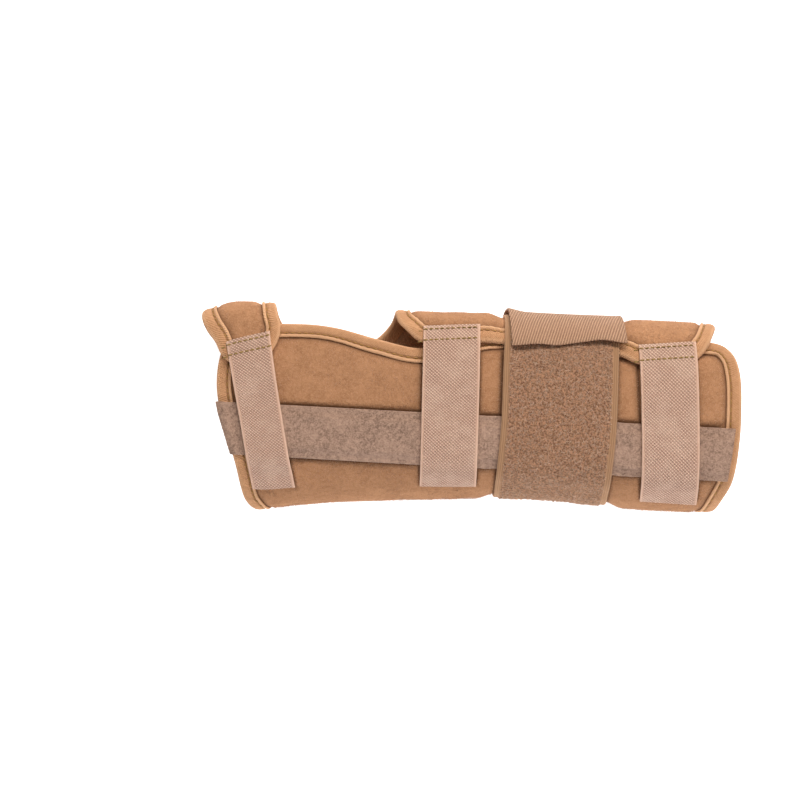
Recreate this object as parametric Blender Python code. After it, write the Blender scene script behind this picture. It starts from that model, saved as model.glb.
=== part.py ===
# A fastened wrist brace for a left hand, lying on its palm side.
# The hand end points to -X, the thumb side to +Y and the back of the hand up.
# The brace is one padded sleeve, wrapped once round a hollow. Every piece is laid out on that wrap: x runs
# along the arm from the hand end, turn counts laps round the hollow, and rise is the height above its surface.
# Turn starts at the thumb side and goes over the back of the hand, the little-finger side and the palm.

import bisect
import math
from collections import namedtuple

import bmesh
import bpy
import numpy as np
from mathutils import Vector
from mathutils.geometry import delaunay_2d_cdt

# Sleeve
LENGTH = 0.240
WIDTH = 0.0913
HEIGHT = 0.058
SLEEVE_THICK = 0.0032
FLAP_GAP = 0.0004

# Edge binding, a tape folded over the sleeve's edge
TAPE_WIDTH = 0.0075
TAPE_WALL = 0.0008
PINCH_RAMP = 0.0025

# Pocket along the back, with its end turned in at the hand
POCKET_THICK = 0.0022
POCKET_TURN_IN = 0.012
POCKET_TURN_WALL = 0.0010

# Straps
HOOK_WIDTH = 0.0250
WEB_STRAP_WIDTH = 0.0190
HOOK_THICK = 0.0012
WIDE_WIDTH = 0.0500
WIDE_THICK = 0.0018
TAB_THICK = 0.0014
TAB_LIFT = 0.0022
STRAP_SLOPE = 0.0070
STRAP_SLACK = 0.0015

# The wide strap draws the sleeve in under it
CINCH = 0.0023
CINCH_RAMP = 0.0080

# Gap between neighbours that touch
EASE = 0.0003

# Facets
LENGTH_STEPS = 24
TURN_LINES = 40
FINE_STEPS = 720
EDGE_STEP = 0.0095
EDGE_BEND = math.radians(24)
CURVE_STEP = 0.0006
LAPS_REACHED = 1.3
BISECTIONS = 30

# How close facet lines may come, as shares of the even step between them
LINE_APART = 0.42
STATION_APART = 0.4
ROW_APART = 0.2
NET_FROM_EDGE = 0.35

# Shape of a section: exponents of its upper and lower half, height of its widest place,
# how far the palm side is pressed past the floor, and the roundness where it lifts off
UPPER_POWER = 2.4
LOWER_POWER = 2.6
WIDEST_AT = 0.45
PRESS = 1.20
LIFT_OFF = 0.0015

# Laps of the wrap
BACK = 0.0
PALM = 0.5
FLAP = 1.0
HALF_LAP = 0.5
FULL_LAP = 1.0

# Where the flaps climb over the back panel, in turns
CLIMB_START = 0.950
CLIMB_END = 1.055

# Sleeve sections. along: share of LENGTH from the hand end. little, thumb: outside of the sleeve on each
# side of the long axis, as shares of WIDTH. top: outside of the sleeve above the floor, as a share of HEIGHT.
Section = namedtuple("Section", "along little thumb top")
SECTIONS = (
    Section(-0.02, 0.552, 0.362, 0.636),
    Section(0.000, 0.555, 0.368, 0.640),
    Section(0.030, 0.563, 0.400, 0.647),
    Section(0.067, 0.570, 0.424, 0.655),
    Section(0.130, 0.575, 0.425, 0.672),
    Section(0.190, 0.548, 0.422, 0.698),
    Section(0.275, 0.517, 0.418, 0.741),
    Section(0.380, 0.493, 0.418, 0.793),
    Section(0.483, 0.474, 0.422, 0.836),
    Section(0.554, 0.460, 0.425, 0.862),
    Section(0.670, 0.454, 0.423, 0.905),
    Section(0.808, 0.473, 0.427, 0.957),
    Section(0.912, 0.474, 0.427, 0.983),
    Section(1.000, 0.465, 0.411, 1.000),
    Section(1.040, 0.461, 0.405, 1.005),
)

# The sleeve's edge, in order round the piece. along: share of LENGTH from the hand end. across: share of
# WIDTH from the long axis towards the thumb, seen from above. lap: which face of the wrap it lies on.
EdgePoint = namedtuple("EdgePoint", "along across lap")
SLEEVE_EDGE = (
    EdgePoint(0.053, 0.245, BACK),
    EdgePoint(0.078, 0.308, BACK),
    EdgePoint(0.112, 0.342, BACK),
    EdgePoint(0.153, 0.352, BACK),
    EdgePoint(0.240, 0.350, BACK),
    EdgePoint(0.335, 0.296, BACK),
    EdgePoint(0.410, 0.263, BACK),
    EdgePoint(0.465, 0.292, BACK),
    EdgePoint(0.530, 0.338, BACK),
    EdgePoint(0.600, 0.350, BACK),
    EdgePoint(0.680, 0.344, BACK),
    EdgePoint(0.760, 0.332, BACK),
    EdgePoint(0.838, 0.330, BACK),
    EdgePoint(0.932, 0.366, BACK),
    EdgePoint(0.966, 0.352, BACK),
    EdgePoint(0.986, 0.305, BACK),
    EdgePoint(0.996, 0.220, BACK),
    EdgePoint(1.000, 0.037, BACK),
    EdgePoint(1.000, -0.112, BACK),
    EdgePoint(0.994, -0.308, BACK),
    EdgePoint(0.978, -0.430, BACK),
    EdgePoint(0.966, -0.300, PALM),
    EdgePoint(0.961, 0.000, PALM),
    EdgePoint(0.960, 0.250, PALM),
    EdgePoint(0.957, 0.450, FLAP),
    EdgePoint(0.947, 0.400, FLAP),
    EdgePoint(0.935, 0.337, FLAP),
    EdgePoint(0.910, 0.270, FLAP),
    EdgePoint(0.815, 0.238, FLAP),
    EdgePoint(0.765, 0.287, FLAP),
    EdgePoint(0.670, 0.310, FLAP),
    EdgePoint(0.561, 0.309, FLAP),
    EdgePoint(0.470, 0.300, FLAP),
    EdgePoint(0.410, 0.300, FLAP),
    EdgePoint(0.385, 0.354, FLAP),
    EdgePoint(0.368, 0.401, FLAP),
    EdgePoint(0.352, 0.380, PALM),
    EdgePoint(0.315, 0.280, PALM),
    EdgePoint(0.250, 0.220, PALM),
    EdgePoint(0.180, 0.270, PALM),
    EdgePoint(0.146, 0.370, PALM),
    EdgePoint(0.138, 0.480, FLAP),
    EdgePoint(0.143, 0.410, FLAP),
    EdgePoint(0.151, 0.340, FLAP),
    EdgePoint(0.149, 0.270, FLAP),
    EdgePoint(0.129, 0.175, FLAP),
    EdgePoint(0.095, 0.135, FLAP),
    EdgePoint(0.064, 0.140, FLAP),
    EdgePoint(0.045, 0.180, FLAP),
    EdgePoint(0.032, 0.240, FLAP),
    EdgePoint(0.014, 0.300, FLAP),
    EdgePoint(0.001, 0.375, FLAP),
    EdgePoint(0.003, 0.360, PALM),
    EdgePoint(0.042, 0.200, PALM),
    EdgePoint(0.090, 0.020, PALM),
    EdgePoint(0.118, -0.180, PALM),
    EdgePoint(0.122, -0.400, PALM),
    EdgePoint(0.117, -0.600, BACK),
    EdgePoint(0.098, -0.525, BACK),
    EdgePoint(0.081, -0.364, BACK),
    EdgePoint(0.067, -0.250, BACK),
    EdgePoint(0.046, -0.085, BACK),
    EdgePoint(0.038, 0.046, BACK),
    EdgePoint(0.042, 0.180, BACK),
)

# Pocket, seen from above: its two long sides and where its ends lie
PocketLine = namedtuple("PocketLine", "across end")
POCKET_THUMB_SIDE = PocketLine(-0.051, 0.990)
POCKET_LITTLE_SIDE = PocketLine(-0.305, 0.983)
POCKET_ACROSS = 4
POCKET_FIRST_ROW = 1.5 * TAPE_WIDTH
POCKET_LAST_ROW = 0.5 * TAPE_WIDTH

# Hook straps: middle of the sewn end and of the free end, as shares of LENGTH and WIDTH seen from above,
# and how far the flap under the sewn end reaches
StrapRun = namedtuple("StrapRun", "name width start_along start_across end_along end_across flap_across")
HOOK_STRAPS = (
    StrapRun("web_strap", WEB_STRAP_WIDTH, 0.0925, 0.272, 0.154, -0.460, 0.145),
    StrapRun("wrist_strap", HOOK_WIDTH, 0.468, 0.372, 0.476, -0.400, 0.300),
    StrapRun("forearm_strap", HOOK_WIDTH, 0.861, 0.336, 0.882, -0.422, 0.240),
)
HOOK_COLUMNS = (-0.5, -0.17, 0.17, 0.5)

# Wide strap: its middle line, its start under the lap and its end over it, and the tab over the end
WIDE_ALONG = 0.6685
WIDE_START = -0.062
WIDE_END = 0.978
WIDE_CLIMB = 0.898
WIDE_CLIMBED = 0.932
TAB_START = 0.934
TAB_STEP_DOWN = 1.012
TAB_SHIFT = 0.0035
TAB_FREE_LEFT = 0.292
TAB_FREE_RIGHT = 0.335
WIDE_FLAP_ACROSS = 0.287
TAB_LIFTS_FROM = 0.6
TAB_PAST_END = 0.004
TAB_COLUMNS = (0.0, 0.2, 0.4, 0.6, 0.8, 1.0)

COLOURS = {
    "sleeve": (0.44, 0.22, 0.105),
    "edge_binding": (0.60, 0.31, 0.155),
    "stay_pocket": (0.38, 0.23, 0.16),
    "web_strap": (0.49, 0.31, 0.22),
    "wrist_strap": (0.49, 0.31, 0.22),
    "forearm_strap": (0.49, 0.31, 0.22),
    "wide_strap": (0.33, 0.165, 0.088),
    "wide_strap_tab": (0.50, 0.28, 0.165),
}
CLOTH_ROUGHNESS = 0.9

# Heights above the hollow that follow from the stack of layers
FLAP_RISE = SLEEVE_THICK + FLAP_GAP
ON_SLEEVE = SLEEVE_THICK + EASE
ON_POCKET = ON_SLEEVE + POCKET_THICK + EASE
ON_FLAP = FLAP_RISE + ON_SLEEVE
WIDE_LAYER = WIDE_THICK + EASE


def smooth_step(low, high, value):
    share = min(max((value - low) / (high - low), 0.0), 1.0)
    return share * share * (3.0 - 2.0 * share)


def from_sections(column, along):
    """One column of the section table at any place along the sleeve, on a smooth curve."""
    knots = [row.along for row in SECTIONS]
    values = [getattr(row, column) for row in SECTIONS]
    i = min(max(bisect.bisect_right(knots, along) - 1, 0), len(knots) - 2)
    before = max(i - 1, 0)
    after = min(i + 2, len(knots) - 1)
    span = knots[i + 1] - knots[i]
    slope_in = (values[i + 1] - values[before]) / (knots[i + 1] - knots[before]) * span
    slope_out = (values[after] - values[i]) / (knots[after] - knots[i]) * span
    u = (along - knots[i]) / span
    return (values[i] * (2 * u ** 3 - 3 * u ** 2 + 1) + slope_in * (u ** 3 - 2 * u ** 2 + u)
            + values[i + 1] * (3 * u ** 2 - 2 * u ** 3) + slope_out * (u ** 3 - u ** 2))


def wide_strap_sides():
    middle = WIDE_ALONG * LENGTH
    return middle - WIDE_WIDTH / 2, middle + WIDE_WIDTH / 2


def cinch_weight(x):
    left, right = wide_strap_sides()
    return smooth_step(left - CINCH_RAMP, left, x) * (1.0 - smooth_step(right, right + CINCH_RAMP, x))


def press_on_floor(z, floor):
    """Flattens what lies below the floor, with a short round lift-off."""
    if z >= floor + LIFT_OFF:
        return z
    if z <= floor - LIFT_OFF:
        return floor
    return floor + (z - floor + LIFT_OFF) ** 2 / (4 * LIFT_OFF)


def signed_power(value, power):
    return math.copysign(abs(value) ** power, value)


def section_loop(x):
    """The hollow's outline at x as fine points (y, z), from the thumb side over the back."""
    along = x / LENGTH
    pull = cinch_weight(x)
    little = from_sections("little", along) * WIDTH - SLEEVE_THICK - CINCH * pull
    thumb = from_sections("thumb", along) * WIDTH - SLEEVE_THICK - CINCH * pull
    top = from_sections("top", along) * HEIGHT - SLEEVE_THICK
    floor = SLEEVE_THICK + WIDE_LAYER * pull
    middle = WIDEST_AT * (top + SLEEVE_THICK)
    half = (thumb + little) / 2
    loop = []
    for k in range(FINE_STEPS):
        angle = 2 * math.pi * k / FINE_STEPS
        c, s = math.cos(angle), math.sin(angle)
        power = 2 / (UPPER_POWER if s >= 0 else LOWER_POWER)
        reach = top - middle if s >= 0 else (middle - floor) * PRESS
        y = (thumb - little) / 2 + half * signed_power(c, power)
        z = middle + reach * signed_power(s, power)
        loop.append((y, press_on_floor(z, floor)))
    return loop


def ring(x):
    """Points round the hollow at x in equal steps of arc, each with its outward direction."""
    loop = section_loop(x)
    count = len(loop)
    lengths = [0.0]
    for k in range(count):
        a, b = loop[k], loop[(k + 1) % count]
        lengths.append(lengths[-1] + math.hypot(b[0] - a[0], b[1] - a[1]))
    points = []
    for j in range(TURN_LINES):
        target = lengths[-1] * j / TURN_LINES
        k = bisect.bisect_right(lengths, target) - 1
        share = (target - lengths[k]) / (lengths[k + 1] - lengths[k])
        a, b = loop[k], loop[(k + 1) % count]
        before, after = loop[k - 1], loop[(k + 2) % count]
        dy, dz = after[0] - before[0], after[1] - before[1]
        size = math.hypot(dy, dz)
        points.append((a[0] + (b[0] - a[0]) * share, a[1] + (b[1] - a[1]) * share, dz / size, -dy / size))
    return points


def length_lines():
    """Places along the arm where all layers bend: even steps, and closer ones where the sleeve is drawn in."""
    left, right = wide_strap_sides()
    close = []
    for side, outward in ((left, -1), (right, 1)):
        close += [side, side + outward * CINCH_RAMP / 2, side + outward * CINCH_RAMP]
    step = LENGTH / LENGTH_STEPS
    even = [step * i for i in range(-1, LENGTH_STEPS + 2)]
    apart = [x for x in even if all(abs(x - near) > step * LINE_APART for near in close)]
    return sorted(apart + close)


class Hollow:
    """The room for hand and arm, as a net of flat facets that every layer follows."""

    def __init__(self):
        self.lines = length_lines()
        self.rings = [ring(x) for x in self.lines]
        self.girth = self.measure_girth()

    def measure_girth(self):
        middle = self.rings[len(self.rings) // 2]
        pairs = zip(middle, middle[1:] + middle[:1])
        return sum(math.hypot(b[0] - a[0], b[1] - a[1]) for a, b in pairs)

    def at(self, x, turn, rise):
        i = min(max(bisect.bisect_right(self.lines, x) - 1, 0), len(self.lines) - 2)
        u = (x - self.lines[i]) / (self.lines[i + 1] - self.lines[i])
        steps = turn * TURN_LINES
        j = math.floor(steps)
        v = steps - j
        y = z = 0.0
        for row, row_share in ((self.rings[i], 1 - u), (self.rings[i + 1], u)):
            for corner, corner_share in ((row[j % TURN_LINES], 1 - v), (row[(j + 1) % TURN_LINES], v)):
                share = row_share * corner_share
                y += share * (corner[0] + rise * corner[2])
                z += share * (corner[1] + rise * corner[3])
        return Vector((x, y, z))

    def turn_at(self, x, y, rise, lap):
        """The turn, on one lap of the wrap, that lies at y seen from above."""
        low, high = lap, lap + HALF_LAP
        towards_thumb = lap == PALM
        for _ in range(BISECTIONS):
            middle = (low + high) / 2
            if (self.at(x, middle, rise).y < y) == towards_thumb:
                low = middle
            else:
                high = middle
        return (low + high) / 2


def flap_climb(turn):
    """Rise of the sleeve's own underside: nil on the first lap, over the back panel on the flaps."""
    line = math.floor(turn * TURN_LINES)
    share = turn * TURN_LINES - line
    low, high = (FLAP_RISE * smooth_step(CLIMB_START, CLIMB_END, k / TURN_LINES) for k in (line, line + 1))
    return low * (1 - share) + high * share


class SleeveEdge:
    """The closed edge line of the sleeve, flat on the wrap: (x, turn times girth)."""

    def __init__(self, hollow):
        self.girth = hollow.girth
        knots = [self.knot(hollow, point) for point in SLEEVE_EDGE]
        self.dense = self.smooth(knots)
        self.stations = self.pick_stations(hollow.lines)

    def knot(self, hollow, point):
        x = point.along * LENGTH
        rise = SLEEVE_THICK + (FLAP_RISE if point.lap == FLAP else 0.0)
        turn = hollow.turn_at(x, point.across * WIDTH, rise, point.lap)
        return Vector((x, turn * self.girth))

    def smooth(self, knots):
        """A round curve through all knots, in short steps."""
        count = len(knots)
        dense = []
        for i in range(count):
            a, b, c, d = (knots[(i + k - 1) % count] for k in range(4))
            t1 = (b - a).length ** 0.5
            t2 = t1 + (c - b).length ** 0.5
            t3 = t2 + (d - c).length ** 0.5
            steps = max(2, math.ceil((c - b).length / CURVE_STEP))
            for k in range(steps):
                t = t1 + (t2 - t1) * k / steps
                ab = a * ((t1 - t) / t1) + b * (t / t1)
                bc = b * ((t2 - t) / (t2 - t1)) + c * ((t - t1) / (t2 - t1))
                cd = c * ((t3 - t) / (t3 - t2)) + d * ((t - t2) / (t3 - t2))
                abc = ab * ((t2 - t) / t2) + bc * (t / t2)
                bcd = bc * ((t3 - t) / (t3 - t1)) + cd * ((t - t1) / (t3 - t1))
                dense.append(abc * ((t2 - t) / (t2 - t1)) + bcd * ((t - t1) / (t2 - t1)))
        return dense

    def heading(self, i):
        count = len(self.dense)
        return (self.dense[(i + 2) % count] - self.dense[i - 2]).normalized()

    def pick_stations(self, lines):
        """Points of the edge where it crosses a bend of the net, and enough between them for its curves."""
        count = len(self.dense)
        step = self.girth / TURN_LINES
        cells = [(math.floor(p.y / step), bisect.bisect_right(lines, p.x)) for p in self.dense]
        crossings = [i for i in range(count) if cells[i] != cells[i - 1]]
        kept = [crossings[0]]
        for i in crossings[1:]:
            if (self.dense[i] - self.dense[kept[-1]]).length > step * STATION_APART:
                kept.append(i)
        stations = []
        for i, start in enumerate(kept):
            stop = kept[(i + 1) % len(kept)]
            run = (stop - start) % count
            length = sum((self.dense[(start + k + 1) % count] - self.dense[(start + k) % count]).length
                         for k in range(run))
            bend = sum(abs(self.heading((start + k) % count).angle_signed(self.heading((start + k + 2) % count)))
                       for k in range(0, run, 2))
            parts = max(1, math.ceil(length / EDGE_STEP), math.ceil(bend / EDGE_BEND))
            stations += [(start + round(run * k / parts)) % count for k in range(parts)]
        return stations

    def inset(self, depth):
        """The edge moved into the sleeve by depth, at its stations."""
        moved = []
        for i in self.stations:
            ahead = self.heading(i)
            moved.append(self.dense[i] + Vector((-ahead.y, ahead.x)) * depth)
        return moved

    def depths(self, points):
        """How far each point lies inside the edge; less than nothing outside it."""
        line = np.array([tuple(p) for p in self.dense])
        following = np.roll(line, -1, axis=0)
        result = []
        for x, s in points:
            nearest = np.hypot(line[:, 0] - x, line[:, 1] - s).min()
            spans = (line[:, 1] > s) != (following[:, 1] > s)
            rise = np.where(spans, following[:, 1] - line[:, 1], 1.0)
            cross = line[:, 0] + (s - line[:, 1]) / rise * (following[:, 0] - line[:, 0])
            inside = np.count_nonzero(spans & (cross > x)) % 2 == 1
            result.append(nearest if inside else -nearest)
        return result

    def hand_end(self, turn):
        """x of the hand-end edge at a turn on the back."""
        s = turn * self.girth
        pairs = zip(self.dense, self.dense[1:] + self.dense[:1])
        return min(a.x for a, b in pairs if min(a.y, b.y) <= s <= max(a.y, b.y))


def add_piece(name, mesh_builder):
    """One named object with its own cloth material, from a function that fills a bmesh."""
    mesh = bpy.data.meshes.new(name)
    bm = bmesh.new()
    mesh_builder(bm)
    bmesh.ops.recalc_face_normals(bm, faces=bm.faces)
    bm.to_mesh(mesh)
    bm.free()
    material = bpy.data.materials.new(name)
    material.use_nodes = True
    shader = material.node_tree.nodes["Principled BSDF"]
    shader.inputs["Base Color"].default_value = (*COLOURS[name], 1.0)
    shader.inputs["Roughness"].default_value = CLOTH_ROUGHNESS
    shader.inputs["Metallic"].default_value = 0.0
    mesh.materials.append(material)
    piece = bpy.data.objects.new(name, mesh)
    bpy.context.scene.collection.objects.link(piece)
    return piece


def strip_faces(bm, near, far):
    """Triangles between two closed rows of the same stations, all with the same slant."""
    for k in range(len(near)):
        ahead = (k + 1) % len(near)
        bm.faces.new((near[k], near[ahead], far[ahead]))
        bm.faces.new((near[k], far[ahead], far[k]))


def fill_sleeve(bm, hollow, edge):
    """The padded panel: an outer and an inner face, pinched thin under the tape."""
    pinch = TAPE_WALL + EASE
    pinch_end = TAPE_WIDTH + EASE
    full_at = pinch_end + PINCH_RAMP
    step = edge.girth / TURN_LINES
    pinched = edge.inset(pinch_end)
    full = edge.inset(full_at)
    full = [p for p, d in zip(full, edge.depths(full)) if d > full_at - EASE]
    net = [Vector((x, j * step)) for x in hollow.lines for j in range(int(TURN_LINES * LAPS_REACHED))]
    net = [p for p, d in zip(net, edge.depths(net)) if d > full_at + step * NET_FROM_EDGE]
    links = []
    for first, count in ((0, len(pinched)), (len(pinched), len(full))):
        links += [(first + k, first + (k + 1) % count) for k in range(count)]
    flat, _, faces, origins, *_ = delaunay_2d_cdt(pinched + full + net, links, [], 1, 1e-7)

    def pair(point, thin):
        turn = point.y / edge.girth
        base = flap_climb(turn)
        return (bm.verts.new(hollow.at(point.x, turn, base + thin)),
                bm.verts.new(hollow.at(point.x, turn, base + SLEEVE_THICK - thin)))

    rim = [pair(point, pinch) for point in edge.inset(pinch)]
    pairs, at_pinch = [], {}
    for point, origin in zip(flat, origins):
        on_pinch = bool(origin) and origin[0] < len(pinched)
        pairs.append(pair(point, pinch if on_pinch else 0.0))
        if on_pinch:
            at_pinch[origin[0]] = pairs[-1]
    ring = [at_pinch[k] for k in range(len(pinched))]
    for face in faces:
        bm.faces.new([pairs[i][1] for i in face])
        bm.faces.new([pairs[i][0] for i in reversed(face)])
    for side in (0, 1):
        strip_faces(bm, [p[side] for p in rim], [p[side] for p in ring])
    strip_faces(bm, [p[0] for p in rim], [p[1] for p in rim])


def fill_binding(bm, hollow, edge):
    """A tape folded over the sleeve's edge, as one closed loop with a U section."""
    inner, outer = TAPE_WALL, SLEEVE_THICK - TAPE_WALL
    profile = ((0.0, 0.0), (0.0, SLEEVE_THICK), (TAPE_WIDTH, SLEEVE_THICK), (TAPE_WIDTH, outer),
               (TAPE_WALL, outer), (TAPE_WALL, inner), (TAPE_WIDTH, inner), (TAPE_WIDTH, 0.0))
    lines = {depth: edge.inset(depth) for depth in (0.0, TAPE_WALL, TAPE_WIDTH)}
    rows = []
    for depth, rise in profile:
        row = []
        for point in lines[depth]:
            turn = point.y / edge.girth
            row.append(bm.verts.new(hollow.at(point.x, turn, flap_climb(turn) + rise)))
        rows.append(row)
    for k, (depth, _) in enumerate(profile):
        following = (k + 1) % len(profile)
        deeper = profile[following][0] > depth
        near, far = (k, following) if deeper else (following, k)
        strip_faces(bm, rows[near], rows[far])


def fill_band(bm, rows):
    """A closed band from rows of (lower, upper) point pairs."""
    grid = [[(bm.verts.new(low), bm.verts.new(high)) for low, high in row] for row in rows]
    for this, following in zip(grid, grid[1:]):
        for k in range(len(this) - 1):
            a, b, c, d = this[k], this[k + 1], following[k + 1], following[k]
            bm.faces.new((a[1], b[1], c[1], d[1]))
            bm.faces.new((d[0], c[0], b[0], a[0]))
        for k in (0, -1):
            bm.faces.new((this[k][0], this[k][1], following[k][1], following[k][0]))
    for row in (grid[0], grid[-1]):
        for a, b in zip(row, row[1:]):
            bm.faces.new((a[0], b[0], b[1], a[1]))


def pocket_rows(hollow, edge):
    """The strip along the back, from inside the hand end round the edge to the elbow end."""
    above = ON_SLEEVE
    turned = POCKET_TURN_WALL
    path = [(POCKET_TURN_IN, -EASE, POCKET_TURN_IN, -EASE - turned),
            (TAPE_WALL, -EASE, TAPE_WALL, -EASE - turned),
            (-EASE, -EASE, -EASE - turned, TAPE_WALL - EASE),
            (-EASE, above, -EASE - turned, above - TAPE_WALL),
            (TAPE_WALL, above, TAPE_WALL, above + turned),
            (TAPE_WIDTH, above, TAPE_WIDTH, above + POCKET_THICK)]
    sides = []
    for k in range(POCKET_ACROSS + 1):
        share = k / POCKET_ACROSS
        across = POCKET_THUMB_SIDE.across * (1 - share) + POCKET_LITTLE_SIDE.across * share
        end = POCKET_THUMB_SIDE.end * (1 - share) + POCKET_LITTLE_SIDE.end * share
        sides.append((across * WIDTH, end * LENGTH))
    rows = []
    for low_x, low_rise, high_x, high_rise in path:
        row = []
        for y, _ in sides:
            turn = hollow.turn_at(edge_start(hollow, edge, y), y, above, BACK)
            start = edge.hand_end(turn)
            row.append((hollow.at(start + low_x, turn, low_rise), hollow.at(start + high_x, turn, high_rise)))
        rows.append(row)
    first = max(edge_start(hollow, edge, y) for y, _ in sides) + POCKET_FIRST_ROW
    last = min(end for _, end in sides)
    for x in [x for x in hollow.lines if first < x < last - POCKET_LAST_ROW] + [None]:
        row = []
        for y, end in sides:
            place = end if x is None else x
            turn = hollow.turn_at(place, y, above, BACK)
            row.append((hollow.at(place, turn, above), hollow.at(place, turn, above + POCKET_THICK)))
        rows.append(row)
    return rows


def edge_start(hollow, edge, y):
    """x of the hand-end edge at y, seen from above."""
    x = SLEEVE_EDGE[-2].along * LENGTH
    for _ in range(4):
        x = edge.hand_end(hollow.turn_at(x, y, ON_SLEEVE, BACK))
    return x


def strap_rise(knots, turn):
    """Height of a strap over the hollow, straight between its knots (turn, rise)."""
    turns = [knot[0] for knot in knots]
    return float(np.interp(turn, turns, [knot[1] for knot in knots]))


def band_turns(start, stop, knots):
    """The turns where a band has a row: at bends of the net and at its own knots."""
    step = 1 / TURN_LINES
    bends = [j * step for j in range(math.floor(start / step), math.ceil(stop / step) + 1)]
    turns = [start, stop]
    for turn in bends + [knot[0] for knot in knots]:
        if start < turn < stop and all(abs(turn - other) > step * ROW_APART for other in turns):
            turns.append(turn)
    return sorted(turns)


def hook_rows(hollow, strap):
    """A hook strap from the flap it is sewn to, across the back and over the pocket."""
    start_x, end_x = strap.start_along * LENGTH, strap.end_along * LENGTH
    middle_x = (start_x + end_x) / 2

    def turn_of(x, across, rise):
        return hollow.turn_at(x, across * WIDTH, rise, BACK)

    start = turn_of(start_x, strap.start_across, ON_FLAP)
    stop = turn_of(end_x, strap.end_across, ON_SLEEVE)
    flap_end = turn_of(start_x, strap.flap_across, ON_FLAP)
    pocket_start = turn_of(middle_x, POCKET_THUMB_SIDE.across, ON_POCKET)
    pocket_end = turn_of(middle_x, POCKET_LITTLE_SIDE.across, ON_POCKET)
    slack = STRAP_SLACK / hollow.girth
    knots = [(start, ON_FLAP), (flap_end + slack, ON_FLAP), (pocket_start - slack, ON_POCKET),
             (pocket_end + slack, ON_POCKET), (pocket_end + slack + STRAP_SLOPE / hollow.girth, ON_SLEEVE),
             (stop + FULL_LAP, ON_SLEEVE)]
    rows = []
    for turn in band_turns(start, stop, knots):
        middle = start_x + (end_x - start_x) * (turn - start) / (stop - start)
        rise = strap_rise(knots, turn)
        row = []
        for share in HOOK_COLUMNS:
            x = middle + strap.width * share
            row.append((hollow.at(x, turn, rise), hollow.at(x, turn, rise + HOOK_THICK)))
        rows.append(row)
    return rows


def wide_rise_knots(hollow):
    middle = WIDE_ALONG * LENGTH
    slack = STRAP_SLACK / hollow.girth
    flap_end = hollow.turn_at(middle, WIDE_FLAP_ACROSS * WIDTH, ON_FLAP, BACK)
    pocket_start = hollow.turn_at(middle, POCKET_THUMB_SIDE.across * WIDTH, ON_POCKET, BACK)
    pocket_end = hollow.turn_at(middle, POCKET_LITTLE_SIDE.across * WIDTH, ON_POCKET, BACK)
    return [(CLIMB_END - FULL_LAP, ON_FLAP), (flap_end + slack, ON_FLAP), (pocket_start - slack, ON_POCKET),
            (pocket_end + slack, ON_POCKET), (pocket_end + slack + STRAP_SLOPE / hollow.girth, ON_SLEEVE),
            (WIDE_CLIMB, ON_SLEEVE), (WIDE_CLIMBED, ON_SLEEVE + WIDE_LAYER)]


def wide_rows(hollow):
    """The wide strap: once round, with its end over its start at the thumb side of the palm."""
    knots = wide_rise_knots(hollow)
    left, right = wide_strap_sides()
    places = [left] + [x for x in hollow.lines if left < x < right] + [right]
    rows = []
    for turn in band_turns(WIDE_START, WIDE_END, knots):
        if turn < CLIMB_END - FULL_LAP:
            rise = flap_climb(turn + FULL_LAP) + ON_SLEEVE
        else:
            rise = strap_rise(knots, turn) + flap_climb(turn)
        rows.append([(hollow.at(x, turn, rise), hollow.at(x, turn, rise + WIDE_THICK)) for x in places])
    return rows


def tab_rows(hollow):
    """The hook tab on the strap's end, over the top edge, with its free edge a little lifted."""
    left, right = wide_strap_sides()
    over_end = ON_SLEEVE + 2 * WIDE_LAYER
    over_start = ON_SLEEVE + WIDE_LAYER
    free_rise = ON_FLAP + WIDE_LAYER + TAB_LIFT
    stops = [hollow.turn_at(x + TAB_SHIFT, across * WIDTH, free_rise, FLAP)
             for x, across in ((left, TAB_FREE_LEFT), (right, TAB_FREE_RIGHT))]
    knots = [(TAB_START, over_end), (WIDE_END + TAB_PAST_END, over_end), (TAB_STEP_DOWN, over_start),
             (max(stops) + FULL_LAP, over_start)]
    rows = []
    turns = band_turns(TAB_START, min(stops), knots)
    for number, turn in enumerate(turns):
        travel = (turn - TAB_START) / (min(stops) - TAB_START)
        lift = TAB_LIFT * max(0.0, travel - TAB_LIFTS_FROM) / (1.0 - TAB_LIFTS_FROM)
        row = []
        for share in TAB_COLUMNS:
            here = turn
            if number == len(turns) - 1:
                here = stops[0] + (stops[1] - stops[0]) * share
            x = left + (right - left) * share + TAB_SHIFT * travel
            rise = strap_rise(knots, here) + flap_climb(here) + lift
            row.append((hollow.at(x, here, rise), hollow.at(x, here, rise + TAB_THICK)))
        rows.append(row)
    return rows


def centre_on_origin(pieces):
    """Moves all pieces so that the whole stands over the origin, on z = 0."""
    corners = np.array([tuple(v.co) for piece in pieces for v in piece.data.vertices])
    low, high = corners.min(axis=0), corners.max(axis=0)
    shift = Vector((-(low[0] + high[0]) / 2, -(low[1] + high[1]) / 2, -low[2]))
    for piece in pieces:
        for vertex in piece.data.vertices:
            vertex.co += shift


def build():
    for thing in list(bpy.data.objects):
        bpy.data.objects.remove(thing)
    hollow = Hollow()
    edge = SleeveEdge(hollow)
    pieces = [
        add_piece("sleeve", lambda bm: fill_sleeve(bm, hollow, edge)),
        add_piece("edge_binding", lambda bm: fill_binding(bm, hollow, edge)),
        add_piece("stay_pocket", lambda bm: fill_band(bm, pocket_rows(hollow, edge))),
        add_piece("wide_strap", lambda bm: fill_band(bm, wide_rows(hollow))),
        add_piece("wide_strap_tab", lambda bm: fill_band(bm, tab_rows(hollow))),
    ]
    for strap in HOOK_STRAPS:
        pieces.append(add_piece(strap.name, lambda bm, strap=strap: fill_band(bm, hook_rows(hollow, strap))))
    centre_on_origin(pieces)


build()
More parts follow.
